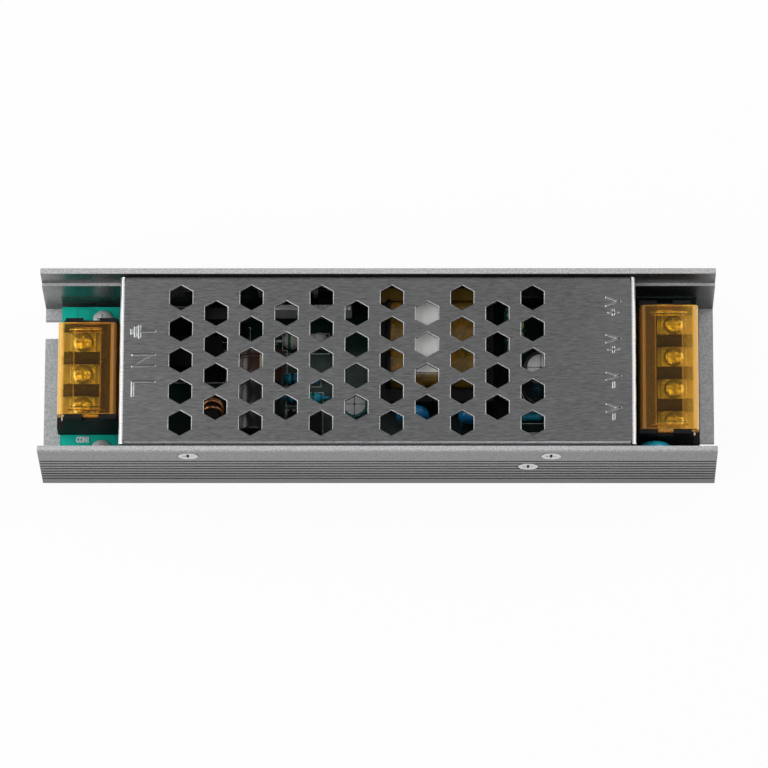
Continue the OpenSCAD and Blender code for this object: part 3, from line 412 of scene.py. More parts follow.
def solder_resist(f):
    """Green resist over copper areas: the gaps between them show darker.

    From the cover's left end on, it is painted dark as the cover's shade, with a mottled grey patch
    from the middle to the front.
    """
    base = colours().board
    shadow_half, patch_x = 1.0 * MM, -8 * MM
    gap = f.node("ShaderNodeTexVoronoi", {"feature": "DISTANCE_TO_EDGE"}, {
        "Vector": f.place((150, 150, 150)), "Scale": 1.0, "Randomness": 0.8})
    copper = f.ramp(gap, 0.03, 0.06)
    fine = f.grain(1900)
    along = f.axis("X")
    face = f.shades(copper, base, 0.72, 1.0)
    # Painted shade: the board is darkened from the cover's left end on.
    painted_cover_shade = f.ramp(along, -BAY_HALF - shadow_half, -BAY_HALF + shadow_half)
    open_face = f.mix(fine * 0.35, face, tint(base, 1.25))
    # A mottled grey patch from the middle to the front, painted in the darkened area.
    grey_patch = f.ramp(abs(along - patch_x), 34 * MM, 24 * MM) * f.ramp(f.axis("Y"), 12 * MM, 6 * MM)
    grey_patch_colour = f.mix(f.grain(420, 3.0), GREY_PATCH_DARK, GREY_PATCH_PALE)
    inside = f.mix(grey_patch, tint(base, 0.035), grey_patch_colour)
    f.out(f.surface(
        Base_Color=f.mix(painted_cover_shade, open_face, inside), Roughness=0.34 + 0.12 * fine,
        Specular_IOR_Level=0.3, Normal=f.bump(copper * 0.6 + fine * 0.2, 0.03 * MM)))


def moulded(f, base, rough, gloss):
    """Moulded plastic with a fine spark-eroded skin and faint flow clouds."""
    skin = f.grain(3400)
    flow = f.grain(120, 3.0)
    f.out(f.surface(
        Base_Color=f.shades(flow, base, 0.75, 1.35), Roughness=rough + 0.10 * skin,
        Specular_IOR_Level=gloss, Normal=f.bump(skin, 0.03 * MM)))


def glossy_coat(f, base, rough=0.22):
    """Dipped or sleeved skin: smooth, with a shallow orange-peel."""
    peel = f.grain(700)
    f.out(f.surface(
        Base_Color=f.shades(peel, base, 0.82, 1.2), Roughness=rough + 0.10 * f.grain(2600),
        Normal=f.bump(peel, 0.06 * MM), **LACQUER))


def disc_lacquer(f):
    """Blue lacquer; the disc beside the output block is a paler make."""
    peel = f.grain(700)
    base = f.mix(f.axis("X") > BAY_HALF, colours().disc, PALE_DISC)
    f.out(f.surface(
        Base_Color=f.mix(0.3 * peel, base, DISC_SHADE), Roughness=0.2 + 0.1 * peel,
        Normal=f.bump(peel, 0.06 * MM), **LACQUER))


def clear_amber(f, node, inner, outer):
    """Clear amber moulding; its border, the rib round its window and its edges carry a painted glow
    of gathered light.

    The border's painted glow goes from inner to outer towards the side where the wires enter, and is
    lighter on that side.
    """
    base, glow = colours().amber, colours().amber_edge
    low, high = plate_corners(node)
    frame_x, frame_y = 3.1 * MM, 1.6 * MM
    along = f.axis("X") - (low.x + high.x) / 2
    across = f.axis("Y") - (low.y + high.y) / 2
    ripple = f.grain(170)
    fine = f.grain(1500)
    clear = f.surface(
        Base_Color=f.shades(ripple, base, 0.95, 1.03), Roughness=0.01 + 0.03 * fine,
        Transmission_Weight=1.0, IOR=1.46, Normal=f.bump(ripple + 0.1 * fine, 0.04 * MM))
    outward = 1.0 if low.x > 0 else -1.0
    wire_side = f.ramp(outward * along, 3 * MM, 6 * MM)
    # Painted light: the glow is lighter and yellower on the wire side.
    lit = f.mix(wire_side, tint(glow, 0.85), LIT_AMBER)
    painted_edge_glow = f.surface(
        Base_Color=f.mix(0.3 * ripple, lit, tint(glow, 0.8)), Roughness=0.16 + 0.1 * fine,
        Coat_Weight=1.0, Coat_Roughness=0.04, Normal=f.bump(ripple, 0.08 * MM))
    inset_x = (high.x - low.x) / 2 - abs(along)
    inset_y = (high.y - low.y) / 2 - abs(across)
    window = (inset_x - frame_x).least(inset_y - frame_y)
    border = f.ramp(window, 0.06 * MM, -0.06 * MM) * (inner + (outer - inner) * wire_side)
    rib = f.ramp(abs(window), 0.24 * MM, 0.08 * MM)
    edge = f.ramp(inset_x.least(inset_y), 0.4 * MM, 0.1 * MM)
    # Painted light: a milky glow is mixed in at the border, the rib and the edges.
    share = (0.02 + border + 0.20 * rib + 0.36 * edge).clamp()
    body = f.node("ShaderNodeMixShader", {}, {0: share, 1: clear, 2: painted_edge_glow})
    let_through = (*(c ** 0.35 for c in base), 1.0)
    see = f.node("ShaderNodeBsdfTransparent", {}, {"Color": let_through})
    shadow = f.node("ShaderNodeLightPath", output="Is Shadow Ray")
    f.out(f.node("ShaderNodeMixShader", {}, {0: shadow, 1: body, 2: see}))


def clear_film(f):
    """Thin clear polyester with soft buckles."""
    buckle = f.noise((90, 220, 220), 3.0)
    f.out(f.surface(
        Base_Color=FILM, Roughness=0.06 + 0.08 * buckle, Alpha=0.25 + 0.15 * buckle,
        Normal=f.bump(buckle, 1.2 * MM)))


def brown_sleeve(f):
    """Shrunk sleeve with a polarity stripe along its top; its front part is near black."""
    stripe_x, stripe_half, stripe_z = -32.1 * MM, 1.1 * MM, BOARD_TOP + 8 * MM
    dark_front_y = -2.6 * MM
    peel = f.grain(900)
    on = f.ramp(abs(f.axis("X") - stripe_x), stripe_half + 0.1 * MM, stripe_half)
    upper = f.axis("Z") > stripe_z
    # The sleeve's front part is coloured near black.
    dark_front = f.axis("Y") < dark_front_y
    face = f.mix(dark_front, f.shades(peel, colours().sleeve, 0.8, 1.3), SLEEVE_DARK_FRONT)
    f.out(f.surface(
        Base_Color=f.mix(on * upper * (1 - dark_front), face, STRIPE), Roughness=0.25 + 0.1 * peel,
        Normal=f.bump(peel, 0.05 * MM), **LACQUER))


def winding_tape(f):
    """Layers of amber tape with pools of resin: the lap lines run round the winding."""
    base = colours().tape
    lap = f.node("ShaderNodeTexWave", {"bands_direction": "X", "wave_profile": "SAW"}, {
        "Vector": f.place(), "Scale": 34.0, "Distortion": 0.4, "Detail": 1.0})
    buckle = f.noise((150, 40, 150), 3.0)
    fleck = f.ramp(f.grain(800, 4.0), 0.52, 0.68)
    pool = f.ramp(f.grain(190), 0.50, 0.66)
    layers = f.shades(f.ramp(lap * 0.2 + buckle * 0.8, 0.3, 0.6), base, 0.2, 1.1)
    f.out(f.surface(
        Base_Color=f.mix(fleck * 0.5, f.mix(pool, layers, RESIN), tint(base, 2.2)),
        Roughness=0.20 + 0.16 * buckle, Coat_Weight=0.6, Coat_Roughness=0.12,
        Normal=f.bump(lap * 0.4 + buckle, 0.12 * MM)))


def enamelled_copper(f):
    cloud = f.grain(260)
    f.out(f.surface(
        Base_Color=f.shades(cloud, colours().copper, 0.7, 1.25), Metallic=0.9,
        Roughness=0.24 + 0.12 * cloud, Coat_Weight=0.5, Coat_Roughness=0.1,
        Normal=f.bump(f.grain(3000), 0.01 * MM)))


def sintered_ferrite(f, taped_from=None):
    """Dark ferrite; a core may be taped from some place across the channel on."""
    pores = f.grain(4200, 3.0)
    face = f.mix(f.grain(220), FERRITE_DARK, FERRITE_PALE)
    if taped_from is not None:
        gold = f.shades(f.noise((150, 40, 150), 3.0), colours().tape, 0.5, 1.5)
        face = f.mix(f.axis("Y") > taped_from, face, gold)
    f.out(f.surface(
        Base_Color=face, Roughness=0.5 + 0.2 * pores, Specular_IOR_Level=0.2,
        Normal=f.bump(pores, 0.04 * MM)))


def fuse_glass(f):
    """Clear glass between two caps, told apart along the fuse's length."""
    low, high = low_corner("fuse"), high_corner("fuse")
    glass_half = 5 * MM
    cap = abs(f.axis("X") - (low.x + high.x) / 2) > glass_half
    dust = f.grain(900)
    f.out(f.surface(
        Base_Color=f.mix(cap, GLASS, FUSE_CAP), Metallic=cap, Alpha=0.35 + 0.65 * cap,
        Roughness=0.06 + 0.22 * cap + 0.08 * dust, Normal=f.bump(dust, 0.01 * MM)))


def resistor_body(f, base):
    glaze = f.grain(1300)
    f.out(f.surface(
        Base_Color=f.shades(glaze, base, 0.8, 1.2), Roughness=0.34 + 0.14 * glaze,
        Coat_Weight=0.25, Coat_Roughness=0.2, Normal=f.bump(glaze, 0.04 * MM)))


def paper(f):
    """Matt label paper, a little creased."""
    fibre = f.grain(2400, 4.0)
    crease = f.noise((130, 60, 60))
    f.out(f.surface(
        Base_Color=f.mix(fibre, PAPER_DARK, PAPER_PALE), Roughness=0.55 + 0.2 * fibre,
        Normal=f.bump(fibre * 0.3 + crease, 0.05 * MM)))


def board_print(f):
    fine = f.grain(5200)
    f.out(f.surface(
        Base_Color=f.shades(fine, colours().ink, 0.85, 1.0), Roughness=0.5 + 0.15 * fine,
        Normal=f.bump(fine, 0.01 * MM)))


FINISHES = {
    "channel_aluminium": blasted_aluminium,
    "cover_steel": brushed_steel,
    # Painted highlight: the output marks get a lighter copy of the cover steel.
    "painted_highlight_steel": lambda f: plated(f, tint(colours().steel, 1.9), rough=0.15),
    "cover_screw_zinc": lambda f: wall_screw(f, "cover_screws"),
    "device_screw_zinc": lambda f: wall_screw(f, "device_screws"),
    "board_screw_zinc": lambda f: plated(
        f, tint(colours().zinc, 1.2), rough=0.08, metallic=0.2, dent=2.4, pitch=900),
    "board_green": solder_resist,
    "standoff_nickel": lambda f: plated(f, colours().nickel, rough=0.28),
    "clear_film": clear_film,
    "terminal_black": lambda f: moulded(f, colours().black, rough=0.52, gloss=0.15),
    "contact_brass": lambda f: plated(f, colours().nickel, rough=0.24),
    # Painted light: inner and outer are the shares of painted glow in each lid's border.
    "input_amber": lambda f: clear_amber(f, "input_terminal_cover", inner=0.015, outer=0.02),
    "output_amber": lambda f: clear_amber(f, "output_terminal_cover", inner=0.08, outer=0.17),
    "fuse_glass": fuse_glass,
    "thermistor_green": lambda f: glossy_coat(f, (0.03, 0.12, 0.05), rough=0.4),
    "box_black": lambda f: moulded(f, (0.004, 0.004, 0.005), rough=0.40, gloss=0.12),
    "ferrite": sintered_ferrite,
    "ferrite_taped": lambda f: sintered_ferrite(f, high_corner("transformer_winding").y),
    "copper_wire": enamelled_copper,
    "green_wire": lambda f: glossy_coat(f, (0.006, 0.085, 0.065), rough=0.3),
    "moulded_black": lambda f: moulded(f, (0.009, 0.008, 0.008), rough=0.46, gloss=0.14),
    "brown_sleeve": brown_sleeve,
    "dark_sleeve": lambda f: glossy_coat(f, (0.018, 0.022, 0.030)),
    "teal_sleeve": lambda f: glossy_coat(f, (0.010, 0.085, 0.10)),
    "pad_grey": lambda f: moulded(f, (0.32, 0.33, 0.34), rough=0.6, gloss=0.3),
    "bar_aluminium": lambda f: plated(f, (0.80, 0.80, 0.81), rough=0.30, metallic=0.5, dent=0.6),
    "resistor_grey": lambda f: resistor_body(f, (0.52, 0.52, 0.48)),
    "resistor_blue": lambda f: resistor_body(f, (0.015, 0.42, 0.62)),
    "bobbin_black": lambda f: moulded(f, (0.005, 0.005, 0.005), rough=0.45, gloss=0.14),
    "tape_amber": winding_tape,
    "disc_blue": disc_lacquer,
    "core_yellow": lambda f: glossy_coat(f, colours().core, rough=0.3),
    "clamp_nickel": lambda f: terminal_metal(f, metallic=0.75, dent=1.6),
    "terminal_screw_steel": lambda f: terminal_metal(f, metallic=0.8, dent=1.4),
    "label_paper": paper,
    "board_print": board_print,
    "can_top": lambda f: plated(f, (0.70, 0.70, 0.70), rough=0.26, metallic=0.45, dent=1.2),
    "band_navy": lambda f: resistor_body(f, (0.02, 0.03, 0.10)),
    "band_green": lambda f: resistor_body(f, (0.012, 0.13, 0.05)),
    "band_teal": lambda f: resistor_body(f, (0.01, 0.16, 0.22)),
}


def finish(name):
    made = bpy.data.materials.get(name + "_finish")
    if made is None:
        made = bpy.data.materials.new(name + "_finish")
        FINISHES[name](Finish(made))
    return made


# Pieces

def link(thing):
    bpy.context.scene.collection.objects.link(thing)
    return thing


def new_piece(name, bm, material, body="root", soft_angle=40.0):
    """Turns a bmesh into a piece that rides on a body."""
    mesh = bpy.data.meshes.new(name)
    bm.to_mesh(mesh)
    bm.free()
    mesh.shade_smooth()
    mesh.set_sharp_from_angle(angle=radians(soft_angle))
    mesh.materials.append(finish(material))
    piece = link(bpy.data.objects.new(name, mesh))
    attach(piece, body)
    return piece


def flat_shading(piece):
    """Keeps wide faces flat beside rounded edges."""
    weigh = piece.modifiers.new("Flat faces", "WEIGHTED_NORMAL")
    weigh.keep_sharp = True


def rounded(node, name, material, *passes, segments=2, slot=None):
    """Copies a node with its sharp edges rounded and lets the copy stand for it.

    Each pass is a radius and, where it isn't for all edges, a test of an edge's middle and
    direction.
    """
    bm = bmesh.new()
    bm.from_mesh(NODES[node].data)
    bmesh.ops.remove_doubles(bm, verts=bm.verts, dist=WELD)
    bmesh.ops.dissolve_limit(bm, angle_limit=FLAT_BEND, verts=bm.verts, edges=bm.edges)
    for step in passes:
        radius, test = step if isinstance(step, tuple) else (step, None)
        edges = [e for e in bm.edges if e.is_manifold and e.calc_face_angle() > SHARP_BEND]
        if test:
            ends = {e: (e.verts[0].co, e.verts[1].co) for e in edges}
            edges = [e for e, (a, b) in ends.items() if test((a + b) / 2, (b - a).normalized())]
        bmesh.ops.bevel(bm, geom=edges, offset=radius, offset_type="OFFSET", segments=segments,
                        profile=0.5, affect="EDGES", clamp_overlap=True)
    piece = new_piece(name, bm, material, NODES[node]["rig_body"])
    flat_shading(piece)
    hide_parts(node)
    return piece


def dress(node, material):
    """Gives a node that is right as it stands its finish."""
    mesh = NODES[node].data
    mesh.materials.clear()
    mesh.materials.append(finish(material))


# Ridges of pressed strokes: share of the half width, share of the height
ROUND_RIDGE = ((1.0, -0.3), (0.98, 0.04), (0.8, 0.30), (0.6, 0.53), (0.4, 0.70), (0.2, 0.80),
               (0.05, 0.83))
FLAT_RIDGE = ((1.0, -0.3), (0.98, 0.04), (0.88, 0.45), (0.76, 0.8), (0.62, 0.97), (0.5, 1.0),
              (0.05, 1.0))


def skin_between(bm, lower, upper):
    """Faces between two rings of as many points."""
    for i in range(len(lower)):
        j = (i + 1) % len(lower)
        bm.faces.new((lower[i], lower[j], upper[j], upper[i]))


def add_stroke(bm, start, end, width, height, base, ridge):
    """A pressed stroke: a low ridge with round ends."""
    start, end = Vector(start), Vector(end)
    along = (end - start).normalized()
    turn = math.atan2(along.y, along.x)
    steps = 12
    rim = []
    for share, lift in ridge:
        ring = []
        for centre, first in ((end, -90), (start, 90)):
            for i in range(steps + 1):
                t = turn + radians(first + 180 * i / steps)
                reach = share * width / 2
                x, y = centre.x + reach * math.cos(t), centre.y + reach * math.sin(t)
                ring.append(bm.verts.new((x, y, base + lift * height)))
        rim.append(ring)
    for lower, upper in zip(rim, rim[1:]):
        skin_between(bm, lower, upper)
    bm.faces.new(rim[-1])
    bm.faces.new(list(reversed(rim[0])))


def add_ribbon(bm, points, width, low, high):
    """A flat printed line round the points, mitred at each."""
    points = [Vector(p) for p in points]
    corners = ((1, low), (-1, low), (-1, high), (1, high))
    rows = []
    for before, point, after in zip(points[-1:] + points, points, points[1:] + points[:1]):
        step = after - point
        along = (step.normalized() + (point - before).normalized()).normalized()
        side = Vector((-along.y, along.x))
        side *= width / 2 / abs(side.dot(Vector((-step.y, step.x)).normalized()))
        rows.append([bm.verts.new((*(point + s * side), z)) for s, z in corners])
    for a, b in zip(rows, rows[1:] + rows[:1]):
        skin_between(bm, a, b)


def add_turned(bm, profile, origin, steps, axis="Z", start=0.0, sweep=360.0):
    """Turns a profile of (radius, height) about an axis through the origin.

    It returns the profile's points at each step, so that a part turn can be capped.
    """
    whole = sweep == 360.0
    count = steps if whole else steps + 1
    rings = []
    for i in range(count):
        t = radians(start + sweep * i / steps)
        ring = []
        for radius, height in profile:
            a, b = radius * math.cos(t), radius * math.sin(t)
            spot = (a, b, height) if axis == "Z" else (height, a, b)
            ring.append(bm.verts.new(Vector(origin) + Vector(spot)))
        rings.append(ring)
    joints = list(zip(rings, rings[1:])) + ([(rings[-1], rings[0])] if whole else [])
    for a, b in joints:
        for i in range(len(profile) - 1):
            bm.faces.new((a[i], b[i], b[i + 1], a[i + 1]))
    return rings


# Operators

class SUPPLY_OT_channel(Operator):
    """Blast the channel and break the edges of its rim"""
    bl_idname = "supply.channel"
    bl_label = "Channel"

    def execute(self, context):
        s = sizes()
        rounded("chassis_channel", "channel", "channel_aluminium",
                (s.rim_round, lambda at, along: at.z > LEDGE_Z),
                (s.metal_round * SLIGHT, lambda at, along: at.z <= LEDGE_Z))
        return {"FINISHED"}


class SUPPLY_OT_cover(Operator):
    """Roll over the punched edges of the cover and press its marks"""
    bl_idname = "supply.cover"
    bl_label = "Cover"

    def execute(self, context):
        s = sizes()
        rounded("perforated_cover", "cover", "cover_steel",
                (s.vent_round, lambda at, along: at.z > COVER_TOP - WELD and self.inside(at)),
                s.sheet_round * SLIGHT, segments=3)
        self.press("cover_marks_input", self.input_marks(), s.mark_w, ROUND_RIDGE, "cover_steel")
        # The output marks carry a painted highlight in a lighter copy of the cover steel.
        self.press("cover_marks_output", self.output_marks(), s.mark_w_output, FLAT_RIDGE,
                   "painted_highlight_steel")
        return {"FINISHED"}

    def inside(self, at):
        """Away from the folds, where only the holes have edges."""
        fold = 2 * MM
        low, high = low_corner("perforated_cover"), high_corner("perforated_cover")
        return low.x + fold < at.x < high.x - fold and low.y + fold < at.y < high.y - fold

    def press(self, name, strokes, width, ridge, material):
        """Raises strokes, given in millimetres, from the top of the cover."""
        bm = bmesh.new()
        for stroke in strokes:
            start, end = ([c * MM for c in point] for point in stroke)
            add_stroke(bm, start, end, width, sizes().mark_h, COVER_TOP, ridge)
        piece = new_piece(name, bm, material, soft_angle=60)
        flat_shading(piece)

    def input_marks(self):
        """Earth sign, N and L, read from the input end."""
        foot, head = -68.6, -62.6
        earth_y, stem_x = 8.4, -66.5
        bars = [((x, earth_y - half), (x, earth_y + half))
                for x, half in ((-69.0, 0.6), (-67.95, 1.3), (-66.85, 1.7))]
        stem = [((stem_x, earth_y), (head, earth_y))]
        n_low, n_high, slope_end = -1.8, 1.55, head - 1.0
        letter_n = [((foot, n_high), (head, n_high)), ((foot, n_low), (head, n_low)),
                    ((foot, n_low), (slope_end, n_high))]
        l_top, l_end = -6.4, -10.5
        letter_l = [((foot, l_top), (head, l_top)), ((foot, l_top), (foot, l_end))]
        return bars + stem + letter_n + letter_l

    def output_marks(self):
        """Two plus and two minus poles, each before its V, read from the output end."""
        arm_x, point_x, sign_x = 64.2, 67.9, 66.1
        bar_half, cross_half = 0.75, 1.3
        strokes = []
        for high, low, sign_y, plus in ((18.5, 16.0, 14.0, True), (7.4, 5.2, 3.1, True),
                                        (-3.6, -5.8, -7.3, False), (-12.9, -15.2, -16.6, False)):
            tip = (high + low) / 2
            strokes += [((arm_x, high), (point_x, tip)), ((arm_x, low), (point_x, tip)),
                        ((sign_x, sign_y - bar_half), (sign_x, sign_y + bar_half))]
            if plus:
                strokes.append(((sign_x - cross_half, sign_y), (sign_x + cross_half, sign_y)))
        return strokes


class SUPPLY_OT_fasteners(Operator):
    """Plate the cover, device and board screws and the standoffs"""
    bl_idname = "supply.fasteners"
    bl_label = "Screws and standoffs"

    def execute(self, context):
        edge = sizes().metal_round
        for kind in ("cover", "device", "board"):
            rounded(kind + "_screws", kind + "_screws_plated", kind + "_screw_zinc", edge,
                    slot="zinc_screw")
        dress("board_standoffs", "standoff_nickel")
        return {"FINISHED"}


class SUPPLY_OT_board(Operator):
    """Coat the board, lay the clear film and print the board's lines and letters"""
    bl_idname = "supply.board"
    bl_label = "Board, film and print"
    condensed = 0.6
    bold = 0.15 * MM
    room = 0.5 * MM

    def execute(self, context):
        s = sizes()
        rounded("circuit_board", "board", "board_green", s.metal_round)
        dress("insulating_film", "clear_film")
        self.outlines()
        self.letters("CON1", -85.5 * MM, -16.8 * MM)
        return {"FINISHED"}

    def outlines(self):
        """Print round each component's foot."""
        lead = 1.9 * MM
        low, high = BOARD_TOP, BOARD_TOP + sizes().print_h
        lines = []
        for node in ("suppression_capacitor", "bridge_rectifier", "bulk_capacitor",
                     "controller_chip"):
            lines.append(self.oblong(low_corner(node), high_corner(node), self.room))
        for node in ("supply_capacitor", "output_capacitors"):
            lines += [self.circle(a, b) for a, b in islands(node)]
        for node in ("film_resistors", "power_resistor"):
            lines += [self.oblong(a, b, -lead) for a, b in islands(node)]
        bm = bmesh.new()
        for line in lines:
            add_ribbon(bm, line, sizes().print_w, low, high)
        new_piece("board_outlines", bm, "board_print")

    def oblong(self, a, b, room_x):
        """Corners round a component's box, with its own room along the length."""
        return [(a.x - room_x, a.y - self.room), (b.x + room_x, a.y - self.room),
                (b.x + room_x, b.y + self.room), (a.x - room_x, b.y + self.room)]

    def circle(self, a, b):
        centre, reach = (a + b) / 2, (b.x - a.x) / 2 + self.room
        turns = [radians(t) for t in range(0, 360, 10)]
        return [(centre.x + reach * math.cos(t), centre.y + reach * math.sin(t)) for t in turns]

    def letters(self, words, x, y):
        """Printed letters, made flat on the board."""
        text = bpy.data.curves.new("board_letters_text", "FONT")
        text.body = words
        text.size = sizes().print_letters
        text.extrude = sizes().print_h / 2
        text.offset = self.bold
        shape = link(bpy.data.objects.new("board_letters_shape", text))
        bpy.context.view_layer.update()
        ready = shape.evaluated_get(bpy.context.evaluated_depsgraph_get())
        mesh = bpy.data.meshes.new_from_object(ready)
        bpy.data.objects.remove(shape)
        bm = bmesh.new()
        bm.from_mesh(mesh)
        bpy.data.meshes.remove(mesh)
        bmesh.ops.scale(bm, verts=bm.verts, vec=(self.condensed, 1.0, 1.0))
        place = Vector((x, y, BOARD_TOP + sizes().print_h / 2))
        bmesh.ops.translate(bm, verts=bm.verts, vec=place)
        new_piece("board_letters", bm, "board_print")


class SUPPLY_OT_terminals(Operator):
    """Mould the two terminal blocks and plate their contacts, clamps and screws"""
    bl_idname = "supply.terminals"
    bl_label = "Terminal blocks"

    def execute(self, context):
        s = sizes()
        for block, poles in (("input", 3), ("output", 4)):
            rounded(block + "_terminal_base", block + "_block", "terminal_black", s.mould_round)
            rounded(block + "_contacts", block + "_contact_bars", "contact_brass", s.metal_round)
            for i in range(1, poles + 1):
                rounded("%s_clamp_%d" % (block, i), "%s_clamp_plate_%d" % (block, i),
                        "clamp_nickel", s.metal_round)
                rounded("%s_screw_%d" % (block, i), "%s_pole_screw_%d" % (block, i),
                        "terminal_screw_steel", s.metal_round)
        return {"FINISHED"}


class SUPPLY_OT_lids(Operator):
    """Mould the two clear amber lids"""
    bl_idname = "supply.lids"
    bl_label = "Amber lids"
    upright = 0.9
    tab_cut = 0.6

    def execute(self, context):
        s = sizes()
        for block in ("input", "output"):
            node = block + "_terminal_cover"
            low, high = low_corner(node), high_corner(node)

            def corner(at, along):
                reach = abs(at.x - (low.x + high.x) / 2) - (high.x - low.x) / 2
                return abs(along.z) > self.upright and reach > -0.1 * MM

            lid = rounded(node, block + "_lid_clear", block + "_amber", (s.lid_corner, corner),
                          s.lid_round, segments=3, slot="lid_amber")
            self.shorten_tabs(lid, node)
        return {"FINISHED"}

    def shorten_tabs(self, lid, node):
        """Only the lips of the snap tabs show beyond the plate."""
        low, high = plate_corners(node)
        for v in lid.data.vertices:
            beyond = max(v.co.y - high.y, 0.0) + min(v.co.y - low.y, 0.0)
            v.co.y -= self.tab_cut * beyond


class SUPPLY_OT_mains(Operator):
    """Finish the mains side: fuse, thermistor, capacitors, choke and bridge"""
    bl_idname = "supply.mains"
    bl_label = "Mains side"

    def execute(self, context):
        dress("fuse", "fuse_glass")
        dress("thermistor", "thermistor_green")
        dress("suppression_capacitor", "box_black")
        dress("choke_core", "ferrite")
        dress("choke_windings", "copper_wire")
        rounded("bridge_rectifier", "bridge", "moulded_black", sizes().metal_round)
        dress("bulk_capacitor", "brown_sleeve")
        return {"FINISHED"}


class SUPPLY_OT_devices(Operator):
    """Finish the power devices on the walls with their pads and clamp bars"""
    bl_idname = "supply.devices"
    bl_label = "Power devices"

    def execute(self, context):
        edge = sizes().metal_round
        for material, nodes in (("moulded_black", ("switch_transistors", "output_rectifiers")),
                                ("bar_aluminium", ("transistor_clamp", "rectifier_clamp"))):
            for node in nodes:
                rounded(node, node + "_edged", material, edge)
        for node in ("transistor_pad", "rectifier_pad"):
            dress(node, "pad_grey")
        return {"FINISHED"}


class SUPPLY_OT_transformer(Operator):
    """Finish the transformer and stick a bare label on its tape"""
    bl_idname = "supply.transformer"
    bl_label = "Transformer"

    def execute(self, context):
        s = sizes()
        rounded("transformer_core", "transformer_ferrite", "ferrite_taped", s.mould_round,
                slot="ferrite")
        rounded("transformer_bobbin", "transformer_coil_form", "bobbin_black", s.metal_round)
        dress("transformer_winding", "tape_amber")
        self.label()
        return {"FINISHED"}

    def label(self):
        """A bare paper label with round corners, along the winding."""
        s = sizes()
        top = high_corner("transformer_winding").z
        low, high = Vector((10.4, -2.2)) * MM, Vector((17.4, 18.6)) * MM
        corner, steps = 1.0 * MM, 6
        outline = []
        right, left, back, front = high.x - corner, low.x + corner, high.y - corner, low.y + corner
        for x, y, first in ((right, back, 0), (left, back, 90), (left, front, 180),
                            (right, front, 270)):
            turns = [radians(first + 90 * i / steps) for i in range(steps + 1)]
            outline += [(x + corner * math.cos(t), y + corner * math.sin(t)) for t in turns]
        bm = bmesh.new()
        faces = [[bm.verts.new((x, y, top + z)) for x, y in outline] for z in (0.0, s.label_t)]
        bm.faces.new(list(reversed(faces[0])))
        bm.faces.new(faces[1])
        skin_between(bm, *faces)
        new_piece("transformer_label", bm, "label_paper")


class SUPPLY_OT_control(Operator):
    """Finish the resistors, chips, small capacitors and discs"""
    bl_idname = "supply.control"
    bl_label = "Control parts"

    def execute(self, context):
        dress("power_resistor", "resistor_grey")
        dress("film_resistors", "resistor_blue")
        for node in ("controller_chip", "optocouplers"):
            rounded(node, node + "_moulded", "moulded_black", sizes().metal_round)
        dress("supply_capacitor", "teal_sleeve")
        dress("disc_capacitors", "disc_blue")
        self.bands()
        return {"FINISHED"}

    def bands(self):
        """Colour rings round the resistors; their places are in millimetres of a small one."""
        skin, small_bulge, plain_from = 0.03 * MM, 1.2 * MM, 30 * MM
        waist_half, waist, width = 1.7, 0.86, 0.5
        rings = {"band_navy": (-2.2, 0.9), "band_green": (-0.7, 2.0), "band_teal": (0.1,)}
        for material, places in rings.items():
            bm = bmesh.new()
            for low, high in islands("film_resistors"):
                if low.x > plain_from:
                    continue
                centre, bulge = self.barrel(low, high)
                stretch = bulge / small_bulge
                for x in places:
                    reach = bulge * (1.0 if abs(x) > waist_half else waist) + skin
                    self.ring(bm, centre, x * stretch * MM, reach, width * stretch * MM)
            if material == "band_green":
                centre, reach = self.barrel(*map(Vector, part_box("power_resistor")))
                self.ring(bm, centre, -4.6 * MM, reach + skin, 0.8 * MM)
            new_piece("resistor_" + material, bm, material)

    def barrel(self, low, high):
        """Middle and radius of a lying resistor's body."""
        radius = (high.y - low.y) / 2
        return Vector(((low.x + high.x) / 2, (low.y + high.y) / 2, high.z - radius)), radius

    def ring(self, bm, centre, x, reach, width):
        inner = reach - 0.06 * MM
        profile = [(inner, -width / 2), (reach, -width / 2), (reach, width / 2), (inner, width / 2),
                   (inner, -width / 2)]
        add_turned(bm, profile, centre + Vector((x, 0, 0)), steps=28, axis="X")


class SUPPLY_OT_output(Operator):
    """Finish the output side: ring choke and can capacitors with their vented tops"""
    bl_idname = "supply.output"
    bl_label = "Output side"

    def execute(self, context):
        dress("inductor_core", "core_yellow")
        dress("inductor_winding", "green_wire")
        dress("output_capacitors", "dark_sleeve")
        bm = bmesh.new()
        for node in ("output_capacitors", "supply_capacitor"):
            for low, high in islands(node):
                self.vented_top(bm, low, high)
        new_piece("can_tops", bm, "can_top")
        return {"FINISHED"}

    def vented_top(self, bm, low, high):
        """Four quarters with a pressed cross between them, inside the sleeve's turned-in edge."""
        centre = (low + high) / 2
        opening, sunk = 0.79, 0.3 * MM
        reach = (high.x - low.x) / 2 * opening
        groove, rise, edge = 0.14 * MM, 0.22 * MM, 0.08 * MM
        outer = reach - groove
        profile = [(groove, 0.0), (groove, rise - edge), (groove + edge, rise),
                   (outer - edge, rise), (outer, rise - edge), (outer, 0.0)]
        for first in range(0, 360, 90):
            turn = radians(first + 45)
            x, y = centre.x + groove * math.cos(turn), centre.y + groove * math.sin(turn)
            rings = add_turned(bm, profile, (x, y, high.z - sunk), steps=10, start=first, sweep=90)
            bm.faces.new(rings[0])
            bm.faces.new(list(reversed(rings[-1])))


